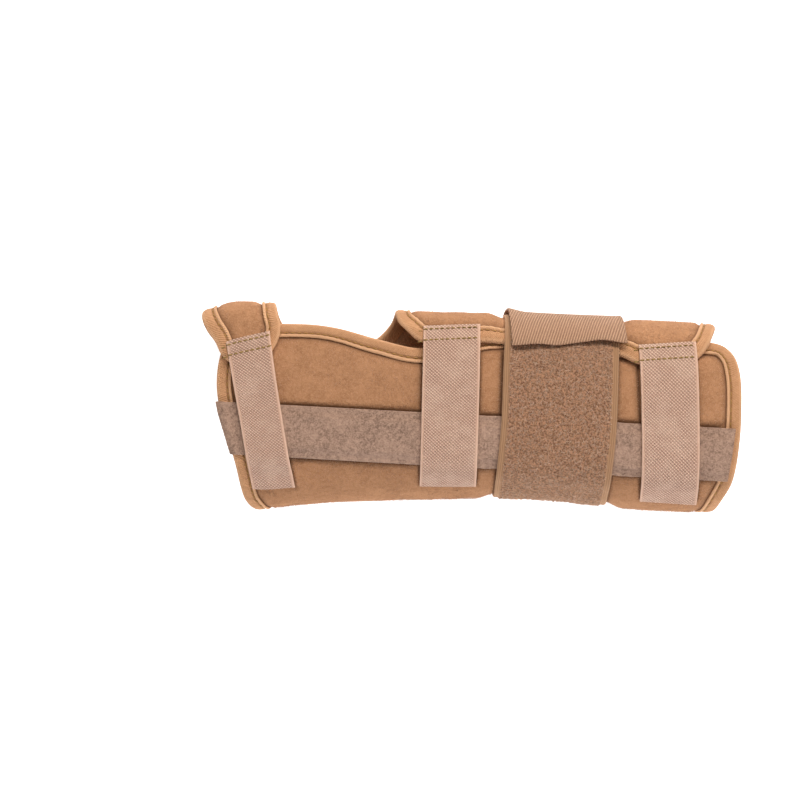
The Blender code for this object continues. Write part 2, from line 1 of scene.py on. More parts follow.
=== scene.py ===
# The looks of a fastened wrist brace: a padded sleeve, its edge binding, a pocket along the back and straps.
# Every cloth is laid out on the wrap round the hollow: x runs along the arm from the hand end, turn counts
# laps from the thumb side over the back of the hand, and rise is the height above the hollow.

import bisect
import math
from collections import namedtuple

import bpy
import numpy as np
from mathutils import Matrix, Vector
from mathutils.geometry import delaunay_2d_cdt
from mathutils.kdtree import KDTree


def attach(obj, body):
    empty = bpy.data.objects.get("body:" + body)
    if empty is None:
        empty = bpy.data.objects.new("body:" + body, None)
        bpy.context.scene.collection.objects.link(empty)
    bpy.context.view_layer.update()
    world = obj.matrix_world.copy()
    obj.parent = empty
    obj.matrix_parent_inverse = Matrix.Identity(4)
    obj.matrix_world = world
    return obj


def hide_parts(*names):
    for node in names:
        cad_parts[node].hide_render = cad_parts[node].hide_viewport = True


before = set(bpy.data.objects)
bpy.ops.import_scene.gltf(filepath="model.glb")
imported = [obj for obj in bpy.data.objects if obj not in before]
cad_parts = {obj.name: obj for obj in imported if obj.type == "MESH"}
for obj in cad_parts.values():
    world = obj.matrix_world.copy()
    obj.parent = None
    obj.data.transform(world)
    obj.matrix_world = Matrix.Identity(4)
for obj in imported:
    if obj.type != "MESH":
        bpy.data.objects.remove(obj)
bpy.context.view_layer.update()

SEED = 11

# Sleeve
LENGTH = 0.240
WIDTH = 0.0913
HEIGHT = 0.058
SLEEVE_THICK = 0.0032
FLAP_GAP = 0.0004

# Where the part stands: its centre over the origin
CENTRE_X = -0.1200041
CENTRE_Y = 0.0044361

# Edge binding
TAPE_WIDTH = 0.0066
TAPE_WALL = 0.0008

# Pocket along the back
POCKET_THICK = 0.0022
POCKET_TURN_IN = 0.012
POCKET_TURN_WALL = 0.0010
POCKET_RIM = 0.0011
TAPE_PASSED = 0.0095

# Straps
HOOK_WIDTH = 0.0250
WEB_STRAP_WIDTH = 0.0190
HOOK_THICK = 0.0012
WIDE_WIDTH = 0.0500
WIDE_THICK = 0.0018
TAB_THICK = 0.0012
TAB_LIFT = 0.0022
STRAP_SLOPE = 0.0070
STRAP_SLACK = 0.0015
STRAP_BEND = 0.003

CINCH = 0.0023
CINCH_RAMP = 0.0080
EASE = 0.0003

# The smooth net that all layers follow
NET_ROWS = 141
NET_OVERHANG = 0.012
TURN_LINES = 160
FINE_STEPS = 1440
BISECTIONS = 24
CURVE_STEP = 0.0004
GIRTH = 0.19376

# Shape of a section
UPPER_POWER = 2.4
LOWER_POWER = 2.6
WIDEST_AT = 0.45
PRESS = 1.20
LIFT_OFF = 0.0015

BACK = 0.0
PALM = 0.5
FLAP = 1.0
HALF_LAP = 0.5
CLIMB_START = 0.950
CLIMB_END = 1.055

# along: share of LENGTH from the hand end. little, thumb: outside of the sleeve on each side of the long
# axis, as shares of WIDTH. top: outside of the sleeve above the floor, as a share of HEIGHT.
Section = namedtuple("Section", "along little thumb top")
SECTIONS = (
    Section(-0.02, 0.552, 0.362, 0.636),
    Section(0.000, 0.555, 0.368, 0.640),
    Section(0.030, 0.563, 0.400, 0.647),
    Section(0.067, 0.570, 0.424, 0.655),
    Section(0.130, 0.575, 0.425, 0.672),
    Section(0.190, 0.548, 0.422, 0.698),
    Section(0.275, 0.517, 0.418, 0.741),
    Section(0.380, 0.493, 0.418, 0.793),
    Section(0.483, 0.474, 0.422, 0.836),
    Section(0.554, 0.460, 0.425, 0.862),
    Section(0.670, 0.454, 0.423, 0.905),
    Section(0.808, 0.473, 0.427, 0.957),
    Section(0.912, 0.474, 0.427, 0.983),
    Section(1.000, 0.465, 0.411, 1.000),
    Section(1.040, 0.461, 0.405, 1.005),
)

# The sleeve's edge, in order round the piece. along: share of LENGTH from the hand end. across: share of
# WIDTH from the long axis towards the thumb, seen from above. lap: which face of the wrap it lies on.
EdgePoint = namedtuple("EdgePoint", "along across lap")
SLEEVE_EDGE = (
    EdgePoint(0.053, 0.245, BACK),
    EdgePoint(0.078, 0.308, BACK),
    EdgePoint(0.112, 0.342, BACK),
    EdgePoint(0.153, 0.352, BACK),
    EdgePoint(0.240, 0.350, BACK),
    EdgePoint(0.335, 0.296, BACK),
    EdgePoint(0.410, 0.263, BACK),
    EdgePoint(0.465, 0.292, BACK),
    EdgePoint(0.530, 0.338, BACK),
    EdgePoint(0.600, 0.350, BACK),
    EdgePoint(0.680, 0.344, BACK),
    EdgePoint(0.760, 0.332, BACK),
    EdgePoint(0.838, 0.330, BACK),
    EdgePoint(0.932, 0.366, BACK),
    EdgePoint(0.966, 0.352, BACK),
    EdgePoint(0.986, 0.305, BACK),
    EdgePoint(0.996, 0.220, BACK),
    EdgePoint(1.000, 0.037, BACK),
    EdgePoint(1.000, -0.112, BACK),
    EdgePoint(0.994, -0.308, BACK),
    EdgePoint(0.978, -0.430, BACK),
    EdgePoint(0.966, -0.300, PALM),
    EdgePoint(0.961, 0.000, PALM),
    EdgePoint(0.960, 0.250, PALM),
    EdgePoint(0.957, 0.450, FLAP),
    EdgePoint(0.947, 0.400, FLAP),
    EdgePoint(0.935, 0.337, FLAP),
    EdgePoint(0.910, 0.270, FLAP),
    EdgePoint(0.815, 0.238, FLAP),
    EdgePoint(0.765, 0.287, FLAP),
    EdgePoint(0.670, 0.310, FLAP),
    EdgePoint(0.561, 0.309, FLAP),
    EdgePoint(0.470, 0.300, FLAP),
    EdgePoint(0.410, 0.300, FLAP),
    EdgePoint(0.385, 0.354, FLAP),
    EdgePoint(0.368, 0.401, FLAP),
    EdgePoint(0.352, 0.380, PALM),
    EdgePoint(0.315, 0.280, PALM),
    EdgePoint(0.250, 0.220, PALM),
    EdgePoint(0.180, 0.270, PALM),
    EdgePoint(0.146, 0.370, PALM),
    EdgePoint(0.138, 0.480, FLAP),
    EdgePoint(0.143, 0.410, FLAP),
    EdgePoint(0.151, 0.340, FLAP),
    EdgePoint(0.149, 0.270, FLAP),
    EdgePoint(0.129, 0.175, FLAP),
    EdgePoint(0.095, 0.135, FLAP),
    EdgePoint(0.064, 0.140, FLAP),
    EdgePoint(0.045, 0.180, FLAP),
    EdgePoint(0.032, 0.240, FLAP),
    EdgePoint(0.014, 0.300, FLAP),
    EdgePoint(0.001, 0.375, FLAP),
    EdgePoint(0.003, 0.360, PALM),
    EdgePoint(0.042, 0.200, PALM),
    EdgePoint(0.090, 0.020, PALM),
    EdgePoint(0.118, -0.180, PALM),
    EdgePoint(0.122, -0.400, PALM),
    EdgePoint(0.117, -0.600, BACK),
    EdgePoint(0.098, -0.525, BACK),
    EdgePoint(0.081, -0.364, BACK),
    EdgePoint(0.067, -0.250, BACK),
    EdgePoint(0.046, -0.085, BACK),
    EdgePoint(0.038, 0.046, BACK),
    EdgePoint(0.042, 0.180, BACK),
)

# Pocket, seen from above: its two long sides and where its ends lie
PocketLine = namedtuple("PocketLine", "across end")
POCKET_THUMB_SIDE = PocketLine(-0.051, 0.990)
POCKET_LITTLE_SIDE = PocketLine(-0.305, 0.983)

# Hook straps: middle of the sewn end and of the free end, as shares of LENGTH and WIDTH seen from above,
# and how far the flap under the sewn end reaches
StrapRun = namedtuple("StrapRun", "name width start_along start_across end_along end_across flap_across")
HOOK_STRAPS = (
    StrapRun("web_strap", WEB_STRAP_WIDTH, 0.0925, 0.272, 0.154, -0.460, 0.145),
    StrapRun("wrist_strap", HOOK_WIDTH, 0.468, 0.372, 0.476, -0.400, 0.300),
    StrapRun("forearm_strap", HOOK_WIDTH, 0.861, 0.336, 0.882, -0.422, 0.240),
)

# Wide strap and its tab
WIDE_ALONG = 0.6685
WIDE_START = -0.062
WIDE_END = 0.978
WIDE_CLIMB = 0.898
WIDE_CLIMBED = 0.932
TAB_START = 0.934
TAB_STEP_DOWN = 1.012
TAB_SHIFT = 0.0035
TAB_CURL = 0.0014
TAB_CURL_AT = 1.02
TAB_FREE_LEFT = 0.292
TAB_FREE_RIGHT = 0.335
WIDE_FLAP_ACROSS = 0.287

FLAP_RISE = SLEEVE_THICK + FLAP_GAP
ON_SLEEVE = SLEEVE_THICK + EASE
ON_POCKET = ON_SLEEVE + POCKET_THICK + EASE
ON_FLAP = FLAP_RISE + ON_SLEEVE
WIDE_LAYER = WIDE_THICK + EASE

# Creases in the brushed side
POCKET_CREASE = 0.0010
STRAP_CREASE = 0.0006
CREASE_WIDTH = 0.0008
CREASE_STEP = 0.0004
CREASE_ROWS = (-0.0012, -0.0006, 0.0, 0.0006, 0.0012)

# Mesh steps in metres
SLEEVE_STEP = 0.0016
EDGE_STEP = 0.0012
STRAP_STEP = 0.0009
WIDE_STEP = 0.0005

# Pile that stands on the cloths: how many hairs and curls, and their sizes
HAIR_COUNT = 46000
HAIR_LENGTH = 0.0011
HAIR_RADIUS = 0.00005
CURL_COUNT = 6000
CURL_RADIUS = 0.0006
CURL_THREAD = 0.00011

# Colours, linear
TAN_PILE = (0.43, 0.217, 0.108)
TAN_PILE_DARK = (0.27, 0.122, 0.055)
TAN_LINING = (0.50, 0.29, 0.165)
TAPE_TAN = (0.58, 0.305, 0.155)
TAPE_TAN_DARK = (0.43, 0.205, 0.092)
# Painted shade in the tape's stitching groove
TAPE_GROOVE_SHADE = (0.22, 0.10, 0.042)
# Painted highlight on the tape's raised lip and its fold
TAPE_PAINTED_HIGHLIGHT = (0.74, 0.42, 0.23)
THREAD_GOLD = (0.38, 0.20, 0.06)
THREAD_OLIVE = (0.27, 0.165, 0.05)
POCKET_GREY = (0.43, 0.27, 0.19)
POCKET_GREY_DARK = (0.13, 0.076, 0.053)
HOOK_BEIGE = (0.51, 0.30, 0.21)
HOOK_BEIGE_DOT = (0.80, 0.57, 0.43)
HOOK_GAP = (0.26, 0.145, 0.11)
HOOK_SELVEDGE = (0.68, 0.44, 0.32)
LOOP_BROWN = (0.45, 0.225, 0.122)
LOOP_BROWN_DARK = (0.20, 0.09, 0.045)
LOOP_CURL = (0.68, 0.44, 0.30)
WIDE_SELVEDGE = (0.40, 0.215, 0.11)
PILE_HAIR = (0.62, 0.37, 0.235)
TAB_TAN = (0.49, 0.285, 0.175)
TAB_TAN_DARK = (0.21, 0.105, 0.058)
FLOOR_WHITE = (0.85, 0.85, 0.85)
FLOOR_GLOW = 0.80


def smooth_step(low, high, value):
    share = np.clip((np.asarray(value, dtype=float) - low) / (high - low), 0.0, 1.0)
    return share * share * (3.0 - 2.0 * share)


def from_sections(column, along):
    """One column of the section table at any place along the sleeve, on a smooth curve."""
    knots = [row.along for row in SECTIONS]
    values = [getattr(row, column) for row in SECTIONS]
    i = min(max(bisect.bisect_right(knots, along) - 1, 0), len(knots) - 2)
    before = max(i - 1, 0)
    after = min(i + 2, len(knots) - 1)
    span = knots[i + 1] - knots[i]
    slope_in = (values[i + 1] - values[before]) / (knots[i + 1] - knots[before]) * span
    slope_out = (values[after] - values[i]) / (knots[after] - knots[i]) * span
    u = (along - knots[i]) / span
    return (values[i] * (2 * u ** 3 - 3 * u ** 2 + 1) + slope_in * (u ** 3 - 2 * u ** 2 + u)
            + values[i + 1] * (3 * u ** 2 - 2 * u ** 3) + slope_out * (u ** 3 - u ** 2))


def wide_strap_sides():
    middle = WIDE_ALONG * LENGTH
    return middle - WIDE_WIDTH / 2, middle + WIDE_WIDTH / 2


def cinch_weight(x):
    left, right = wide_strap_sides()
    return smooth_step(left - CINCH_RAMP, left, x) * (1.0 - smooth_step(right, right + CINCH_RAMP, x))


def press_on_floor(z, floor):
    """Flattens what lies below the floor, with a short round lift-off."""
    lifting = floor + (z - floor + LIFT_OFF) ** 2 / (4 * LIFT_OFF)
    return np.where(z >= floor + LIFT_OFF, z, np.where(z <= floor - LIFT_OFF, floor, lifting))


def ring(x):
    """The hollow's outline at x in equal steps of arc, from the thumb side: columns y, z and outward y, z."""
    along = x / LENGTH
    pull = float(cinch_weight(x))
    little = from_sections("little", along) * WIDTH - SLEEVE_THICK - CINCH * pull
    thumb = from_sections("thumb", along) * WIDTH - SLEEVE_THICK - CINCH * pull
    top = from_sections("top", along) * HEIGHT - SLEEVE_THICK
    floor = SLEEVE_THICK + WIDE_LAYER * pull
    middle = WIDEST_AT * (top + SLEEVE_THICK)
    angle = np.linspace(0.0, 2 * math.pi, FINE_STEPS + 1)
    c, s = np.cos(angle), np.sin(angle)
    power = np.where(s >= 0, 2 / UPPER_POWER, 2 / LOWER_POWER)
    reach = np.where(s >= 0, top - middle, (middle - floor) * PRESS)
    y = (thumb - little) / 2 + (thumb + little) / 2 * np.sign(c) * np.abs(c) ** power
    z = press_on_floor(middle + reach * np.sign(s) * np.abs(s) ** power, floor)
    arc = np.concatenate(([0.0], np.cumsum(np.hypot(np.diff(y), np.diff(z)))))
    target = arc[-1] * np.arange(TURN_LINES) / TURN_LINES
    y, z = np.interp(target, arc, y), np.interp(target, arc, z)
    dy, dz = np.roll(y, -1) - np.roll(y, 1), np.roll(z, -1) - np.roll(z, 1)
    size = np.hypot(dy, dz)
    return np.stack([y, z, dz / size, -dy / size], axis=1)


def curve_shares(share):
    """Weights of four neighbouring knots for a smooth curve between the middle two."""
    return (share * (-0.5 + share * (1.0 - 0.5 * share)), 1.0 + share * share * (1.5 * share - 2.5),
            share * (0.5 + share * (2.0 - 1.5 * share)), share * share * (0.5 * share - 0.5))


class Wrap:
    """The room for hand and arm as a smooth surface that every layer follows."""

    def __init__(self):
        self.start = -NET_OVERHANG
        self.step = (LENGTH + 2 * NET_OVERHANG) / (NET_ROWS - 1)
        self.net = np.array([ring(self.start + self.step * i) for i in range(NET_ROWS)])

    def at(self, x, turn, rise):
        """Points in metres, as an array of the inputs' shape with x, y, z last."""
        x, turn, rise = np.broadcast_arrays(*(np.asarray(a, dtype=float) for a in (x, turn, rise)))
        u = (x - self.start) / self.step
        i = np.clip(np.floor(u).astype(int), 1, NET_ROWS - 3)
        v = turn * TURN_LINES
        j = np.floor(v).astype(int)
        total = np.zeros(x.shape + (4,))
        for a, along_share in enumerate(curve_shares(u - i)):
            for b, turn_share in enumerate(curve_shares(v - j)):
                total += (along_share * turn_share)[..., None] * self.net[i + a - 1, (j + b - 1) % TURN_LINES]
        return np.stack([x + CENTRE_X, total[..., 0] + rise * total[..., 2] + CENTRE_Y,
                         total[..., 1] + rise * total[..., 3]], axis=-1)

    def outward(self, x, turn):
        """Unit directions away from the hollow."""
        way = self.at(x, turn, 0.001) - self.at(x, turn, 0.0)
        return way / np.linalg.norm(way, axis=-1, keepdims=True)

    def turn_at(self, x, y, rise, lap):
        """The turn, on one lap of the wrap, that lies at y seen from above."""
        low, high = lap, lap + HALF_LAP
        towards_thumb = lap == PALM
        for _ in range(BISECTIONS):
            middle = (low + high) / 2
            if (float(self.at(x, middle, rise)[1]) - CENTRE_Y < y) == towards_thumb:
                low = middle
            else:
                high = middle
        return (low + high) / 2


def flap_climb(turn):
    """Rise of the sleeve's own underside: nil on the first lap, over the back panel on the flaps."""
    return FLAP_RISE * smooth_step(CLIMB_START, CLIMB_END, turn)


class SleeveEdge:
    """The closed edge line of the sleeve, flat on the wrap: x, and turn times GIRTH."""

    def __init__(self, wrap):
        self.dense = self.smooth([self.knot(wrap, point) for point in SLEEVE_EDGE])
        self.tree = KDTree(len(self.dense))
        for i, point in enumerate(self.dense):
            self.tree.insert((point[0], point[1], 0.0), i)
        self.tree.balance()

    def knot(self, wrap, point):
        x = point.along * LENGTH
        rise = SLEEVE_THICK + (FLAP_RISE if point.lap == FLAP else 0.0)
        return Vector((x, wrap.turn_at(x, point.across * WIDTH, rise, point.lap) * GIRTH))

    def smooth(self, knots):
        """A round curve through all knots, in short steps."""
        count = len(knots)
        dense = []
        for i in range(count):
            a, b, c, d = (knots[(i + k - 1) % count] for k in range(4))
            t1 = (b - a).length ** 0.5
            t2 = t1 + (c - b).length ** 0.5
            t3 = t2 + (d - c).length ** 0.5
            steps = max(2, math.ceil((c - b).length / CURVE_STEP))
            for k in range(steps):
                t = t1 + (t2 - t1) * k / steps
                ab = a * ((t1 - t) / t1) + b * (t / t1)
                bc = b * ((t2 - t) / (t2 - t1)) + c * ((t - t1) / (t2 - t1))
                cd = c * ((t3 - t) / (t3 - t2)) + d * ((t - t2) / (t3 - t2))
                abc = ab * ((t2 - t) / t2) + bc * (t / t2)
                bcd = bc * ((t3 - t) / (t3 - t1)) + cd * ((t - t1) / (t3 - t1))
                dense.append(abc * ((t2 - t) / (t2 - t1)) + bcd * ((t - t1) / (t2 - t1)))
        return np.array([tuple(p) for p in dense])

    def stations(self, step):
        """Evenly spaced points of the edge with their inward directions, and the distance along it."""
        closed = np.vstack([self.dense, self.dense[:1]])
        arc = np.concatenate(([0.0], np.cumsum(np.linalg.norm(np.diff(closed, axis=0), axis=1))))
        count = round(arc[-1] / step)
        target = arc[-1] * np.arange(count) / count
        points = np.stack([np.interp(target, arc, closed[:, k]) for k in (0, 1)], axis=1)
        ahead = np.roll(points, -1, axis=0) - np.roll(points, 1, axis=0)
        ahead /= np.linalg.norm(ahead, axis=1, keepdims=True)
        return points, np.stack([-ahead[:, 1], ahead[:, 0]], axis=1), target

    def depths(self, points):
        """How far each point lies inside the edge; less than nothing outside it."""
        following = np.roll(self.dense, -1, axis=0)
        result = []
        for x, s in points:
            nearest = self.tree.find((x, s, 0.0))[2]
            spans = (self.dense[:, 1] > s) != (following[:, 1] > s)
            low, high = self.dense[spans], following[spans]
            cross = low[:, 0] + (s - low[:, 1]) / (high[:, 1] - low[:, 1]) * (high[:, 0] - low[:, 0])
            inside = np.count_nonzero(cross > x) % 2 == 1
            result.append(nearest if inside else -nearest)
        return np.array(result)

    def hand_end(self, turn):
        """x of the hand-end edge at a turn on the back."""
        s = turn * GIRTH
        following = np.roll(self.dense, -1, axis=0)
        low = np.minimum(self.dense[:, 1], following[:, 1])
        high = np.maximum(self.dense[:, 1], following[:, 1])
        return float(self.dense[(low <= s) & (s <= high), 0].min())


class Creases:
    """Lines where a pocket or strap is held down on the brushed side, which dips along them."""

    def __init__(self, wrap):
        self.lines = []
        xs = np.arange(0.012, LENGTH, CREASE_STEP)
        for line in (POCKET_THUMB_SIDE, POCKET_LITTLE_SIDE):
            turns = np.array([wrap.turn_at(x, line.across * WIDTH, ON_SLEEVE, BACK) for x in xs[::10]])
            self.add(xs, np.interp(xs, xs[::10], turns) * GIRTH, POCKET_CREASE)
        for strap in HOOK_STRAPS:
            shares = ((strap.start_along, strap.flap_across), (strap.end_along, strap.end_across))
            ends = [(along * LENGTH, wrap.turn_at(along * LENGTH, across * WIDTH, ON_SLEEVE, BACK) * GIRTH)
                    for along, across in shares]
            count = round((ends[1][1] - ends[0][1]) / CREASE_STEP)
            for side in (-0.5, 0.5):
                self.add(np.linspace(ends[0][0], ends[1][0], count) + side * strap.width,
                         np.linspace(ends[0][1], ends[1][1], count), STRAP_CREASE)
        ss = np.arange(0.06, 0.98, CREASE_STEP / GIRTH) * GIRTH
        for x in wide_strap_sides():
            self.add(np.full_like(ss, x), ss, STRAP_CREASE)
        self.tree = KDTree(sum(len(points) for points, _ in self.lines))
        self.depth = []
        for points, depth in self.lines:
            for point in points:
                self.tree.insert((*point, 0.0), len(self.depth))
                self.depth.append(depth)
        self.tree.balance()

    def add(self, x, s, depth):
        self.lines.append((np.stack([x, s], axis=1), depth))

    def beside(self):
        """Places along both sides of every line, so that the mesh can bend there."""
        rows = []
        for points, _ in self.lines:
            ahead = np.gradient(points, axis=0)
            ahead /= np.linalg.norm(ahead, axis=1, keepdims=True)
            across = np.stack([-ahead[:, 1], ahead[:, 0]], axis=1)
            rows += [(points + across * reach)[::3] for reach in CREASE_ROWS]
        return np.concatenate(rows)

    def dips(self, flat):
        """Depth of the crease at each place, and how much of it is there from 0 to 1."""
        found = [self.tree.find((x, s, 0.0))[1:] for x, s in flat]
        share = np.exp(-(np.array([f[1] for f in found]) / CREASE_WIDTH) ** 2)
        return share * np.array([self.depth[f[0]] for f in found]), share


def ripple(x, s, size, seed):
    """Smooth uneven waves between -1 and 1, for cloth that isn't quite flat."""
    rng = np.random.default_rng(seed)
    total = np.zeros(np.broadcast(x, s).shape)
    for _ in range(7):
        angle, phase = rng.uniform(0, 2 * math.pi, 2)
        wave = size * rng.uniform(0.6, 1.7)
        total = total + np.sin((x * math.cos(angle) + s * math.sin(angle)) * 2 * math.pi / wave + phase)
    return total / 4.0


def face_outwards(mesh):
    """Turns all faces of a closed mesh over if they look inwards."""
    mesh.calc_loop_triangles()
    corners = np.empty(3 * len(mesh.loop_triangles), dtype=np.int32)
    mesh.loop_triangles.foreach_get("vertices", corners)
    places = np.empty(3 * len(mesh.vertices), dtype=np.float32)
    mesh.vertices.foreach_get("co", places)
    a, b, c = places.astype(float).reshape(-1, 3)[corners.reshape(-1, 3)].transpose(1, 0, 2)
    if np.sum(a * np.cross(b, c)) < 0.0:
        mesh.flip_normals()


def add_object(name, points, faces, finishes, flat=None, sharp=math.radians(50), finish_of=None):
    """One piece from points and faces, with a UV map in metres of flat cloth."""
    mesh = bpy.data.meshes.new(name)
    mesh.from_pydata(np.asarray(points).reshape(-1, 3).tolist(), [], [list(map(int, f)) for f in faces])
    face_outwards(mesh)
    for finish in finishes:
        mesh.materials.append(finish)
    if finish_of is not None:
        mesh.polygons.foreach_set("material_index", np.asarray(finish_of, dtype=np.int32))
    if flat is not None:
        corners = np.empty(len(mesh.loops), dtype=np.int32)
        mesh.loops.foreach_get("vertex_index", corners)
        layer = mesh.uv_layers.new(name="cloth")
        layer.data.foreach_set("uv", np.asarray(flat, dtype=np.float32).reshape(-1, 2)[corners].ravel())
    mesh.polygons.foreach_set("use_smooth", np.ones(len(mesh.polygons), dtype=bool))
    mesh.set_sharp_from_angle(angle=sharp)
    mesh.update()
    piece = bpy.data.objects.new(name, mesh)
    bpy.context.scene.collection.objects.link(piece)
    return piece


def grid_faces(rows, columns, first=0, turned=False):
    """Quads of a grid of points."""
    corner = first + np.arange((rows - 1) * columns).reshape(rows - 1, columns)[:, :-1]
    quads = np.stack([corner, corner + 1, corner + columns + 1, corner + columns], axis=-1).reshape(-1, 4)
    return quads[:, ::-1] if turned else quads


def add_band(name, top, bottom, flat, finishes, outward_first=True):
    """A closed band of cloth from its upper and lower grids of points."""
    rows, columns = top.shape[:2]
    size = rows * columns
    faces = [grid_faces(rows, columns), grid_faces(rows, columns, size, True)]
    index = np.arange(size).reshape(rows, columns)
    rim = np.concatenate([index[0, :], index[1:, -1], index[-1, -2::-1], index[-2:0:-1, 0]])
    following = np.roll(rim, -1)
    faces.append(np.stack([following, rim, rim + size, following + size], axis=1))
    faces = np.concatenate(faces)
    if not outward_first:
        faces = faces[:, ::-1]
    points = np.concatenate([top.reshape(-1, 3), bottom.reshape(-1, 3)])
    return add_object(name, points, faces, finishes, np.concatenate([flat.reshape(-1, 2)] * 2))


def add_threads(name, paths, ups, radius, finishes, sides=6, taper=0.6):
    """Many short threads in one piece. paths: (threads, points, 3). ups: (threads, 3), off the cloth."""
    threads, points = paths.shape[:2]
    ahead = np.gradient(paths, axis=1)
    ahead /= np.linalg.norm(ahead, axis=2, keepdims=True)
    side = np.cross(ahead, ups[:, None, :])
    side /= np.linalg.norm(side, axis=2, keepdims=True)
    up = np.cross(side, ahead)
    girth = np.full(points, radius)
    girth[[0, -1]] *= taper
    angle = 2 * math.pi * np.arange(sides) / sides
    around = (side[:, :, None, :] * np.cos(angle)[None, None, :, None]
              + up[:, :, None, :] * np.sin(angle)[None, None, :, None])
    verts = paths[:, :, None, :] + around * girth[None, :, None, None]
    ring_faces = []
    for k in range(points - 1):
        for n in range(sides):
            m = (n + 1) % sides
            ring_faces.append((k * sides + n, k * sides + m, (k + 1) * sides + m, (k + 1) * sides + n))
    base = np.arange(threads)[:, None, None] * points * sides
    faces = (np.array(ring_faces)[None] + base).reshape(-1, 4).tolist()
    first = (np.arange(sides)[::-1][None] + base[:, 0]).tolist()
    last = (np.arange(sides)[None] + (points - 1) * sides + base[:, 0]).tolist()
    return add_object(name, verts, faces + first + last, finishes, sharp=math.radians(80))


class Finish:
    """A cloth material, with short calls for its nodes."""

    def __init__(self, name, roughness=0.9, sheen=0.0, sheen_tint=(1.0, 0.9, 0.8)):
        self.material = bpy.data.materials.new(name)
        self.material.use_nodes = True
        self.tree = self.material.node_tree
        self.shader = self.tree.nodes["Principled BSDF"]
        self.shader.inputs["Roughness"].default_value = roughness
        self.shader.inputs["Specular IOR Level"].default_value = 0.25
        self.shader.inputs["Sheen Weight"].default_value = sheen
        self.shader.inputs["Sheen Roughness"].default_value = 0.5
        self.shader.inputs["Sheen Tint"].default_value = (*sheen_tint, 1.0)

    def node(self, kind, links=(), **settings):
        made = self.tree.nodes.new(kind)
        for key, value in settings.items():
            setattr(made, key, value)
        for socket, value in links:
            if isinstance(value, bpy.types.NodeSocket):
                self.tree.links.new(value, made.inputs[socket])
            else:
                made.inputs[socket].default_value = value
        return made

    def place(self, flat=False, scale=(1.0, 1.0, 1.0), turned=0.0):
        """Where a point is, from the object or from the flat cloth, stretched and turned."""
        where = self.node("ShaderNodeTexCoord").outputs["UV" if flat else "Object"]
        return self.node("ShaderNodeMapping", [("Vector", where), ("Scale", scale),
                                               ("Rotation", (0.0, 0.0, turned))]).outputs[0]

    def noise(self, where, size, detail=3.0, roughness=0.6):
        return self.node("ShaderNodeTexNoise", [("Vector", where), ("Scale", 1.0 / size), ("Detail", detail),
                                                ("Roughness", roughness)]).outputs["Fac"]

    def cells(self, where, size, feature="F1"):
        return self.node("ShaderNodeTexVoronoi", [("Vector", where), ("Scale", 1.0 / size)],
                         feature=feature).outputs["Distance"]

    def math(self, operation, a, b=0.0, c=0.5):
        return self.node("ShaderNodeMath", [(0, a), (1, b), (2, c)], operation=operation).outputs[0]

    def span(self, value, low, high, to_low=0.0, to_high=1.0):
        return self.node("ShaderNodeMapRange", [("Value", value), ("From Min", low), ("From Max", high),
                                                ("To Min", to_low), ("To Max", to_high)],
                         interpolation_type="SMOOTHSTEP").outputs[0]

    def mix(self, share, a, b):
        a, b = (v if isinstance(v, bpy.types.NodeSocket) else (*v, 1.0) for v in (a, b))
        return self.node("ShaderNodeMix", [(0, share), (6, a), (7, b)], data_type="RGBA").outputs[2]

    def axis(self, where, number):
        return self.node("ShaderNodeSeparateXYZ", [(0, where)]).outputs[number]

    def waves(self, value, period):
        """A wave between 0 and 1 along a distance."""
        turned = self.math("SINE", self.math("MULTIPLY_ADD", value, 2 * math.pi / period))
        return self.span(turned, -1.0, 1.0)

    def painted_crease_shade(self, colour, dark, most=0.8):
        """The colour with painted shade, darker where the piece's shade attribute says that it lies in a
        crease.
        """
        shade = self.node("ShaderNodeAttribute", attribute_name="shade").outputs["Fac"]
        return self.mix(self.math("MULTIPLY", shade, most), colour, dark)

    def finish(self, colour, height=None, distance=0.0003, strength=1.0):
        self.tree.links.new(colour, self.shader.inputs["Base Color"])
        if height is not None:
            bump = self.node("ShaderNodeBump", [("Height", height), ("Distance", distance),
                                                ("Strength", strength)])
            self.tree.links.new(bump.outputs[0], self.shader.inputs["Normal"])
        return self.material


def brushed_cloth(name, colour, dark, mottle, fuzz, sheen=0.25, depth=0.0004, painted_crease_shade=False):
    """A brushed, slightly matted face with short pile, with painted shade in its creases if asked."""
    f = Finish(name, 0.95, sheen, colour)
    where = f.place()
    broad = f.noise(where, mottle * 5, 3.0)
    clumps = f.noise(where, mottle, 4.0, 0.65)
    hairs = f.noise(where, fuzz, 2.0, 0.7)
    share = f.math("ADD", f.math("MULTIPLY", f.span(clumps, 0.3, 0.7), 0.5),
                   f.math("MULTIPLY", f.span(hairs, 0.3, 0.7), 0.5))
    tone = f.mix(share, dark, colour)
    light = tuple(min(1.0, c * 1.18) for c in colour)
    tone = f.mix(f.math("MULTIPLY", f.span(broad, 0.35, 0.75), 0.35), tone, light)
    # Painted shade: the brushed side turns deep brown in creases and beside the tape.
    if painted_crease_shade:
        tone = f.painted_crease_shade(tone, tuple(c * 0.35 for c in dark))
    height = f.math("ADD", clumps, f.math("MULTIPLY", hairs, 0.6))
    return f.finish(tone, height, depth)


def lining_cloth():
    f = Finish("lining_knit", 0.85, 0.1)
    flat = f.place(True)
    ribs = f.waves(f.axis(flat, 1), 0.0011)
    steps = f.waves(f.axis(flat, 0), 0.0016)
    height = f.math("MULTIPLY", ribs, steps)
    tone = f.mix(height, tuple(c * 0.85 for c in TAN_LINING), TAN_LINING)
    return f.finish(tone, height, 0.00015)


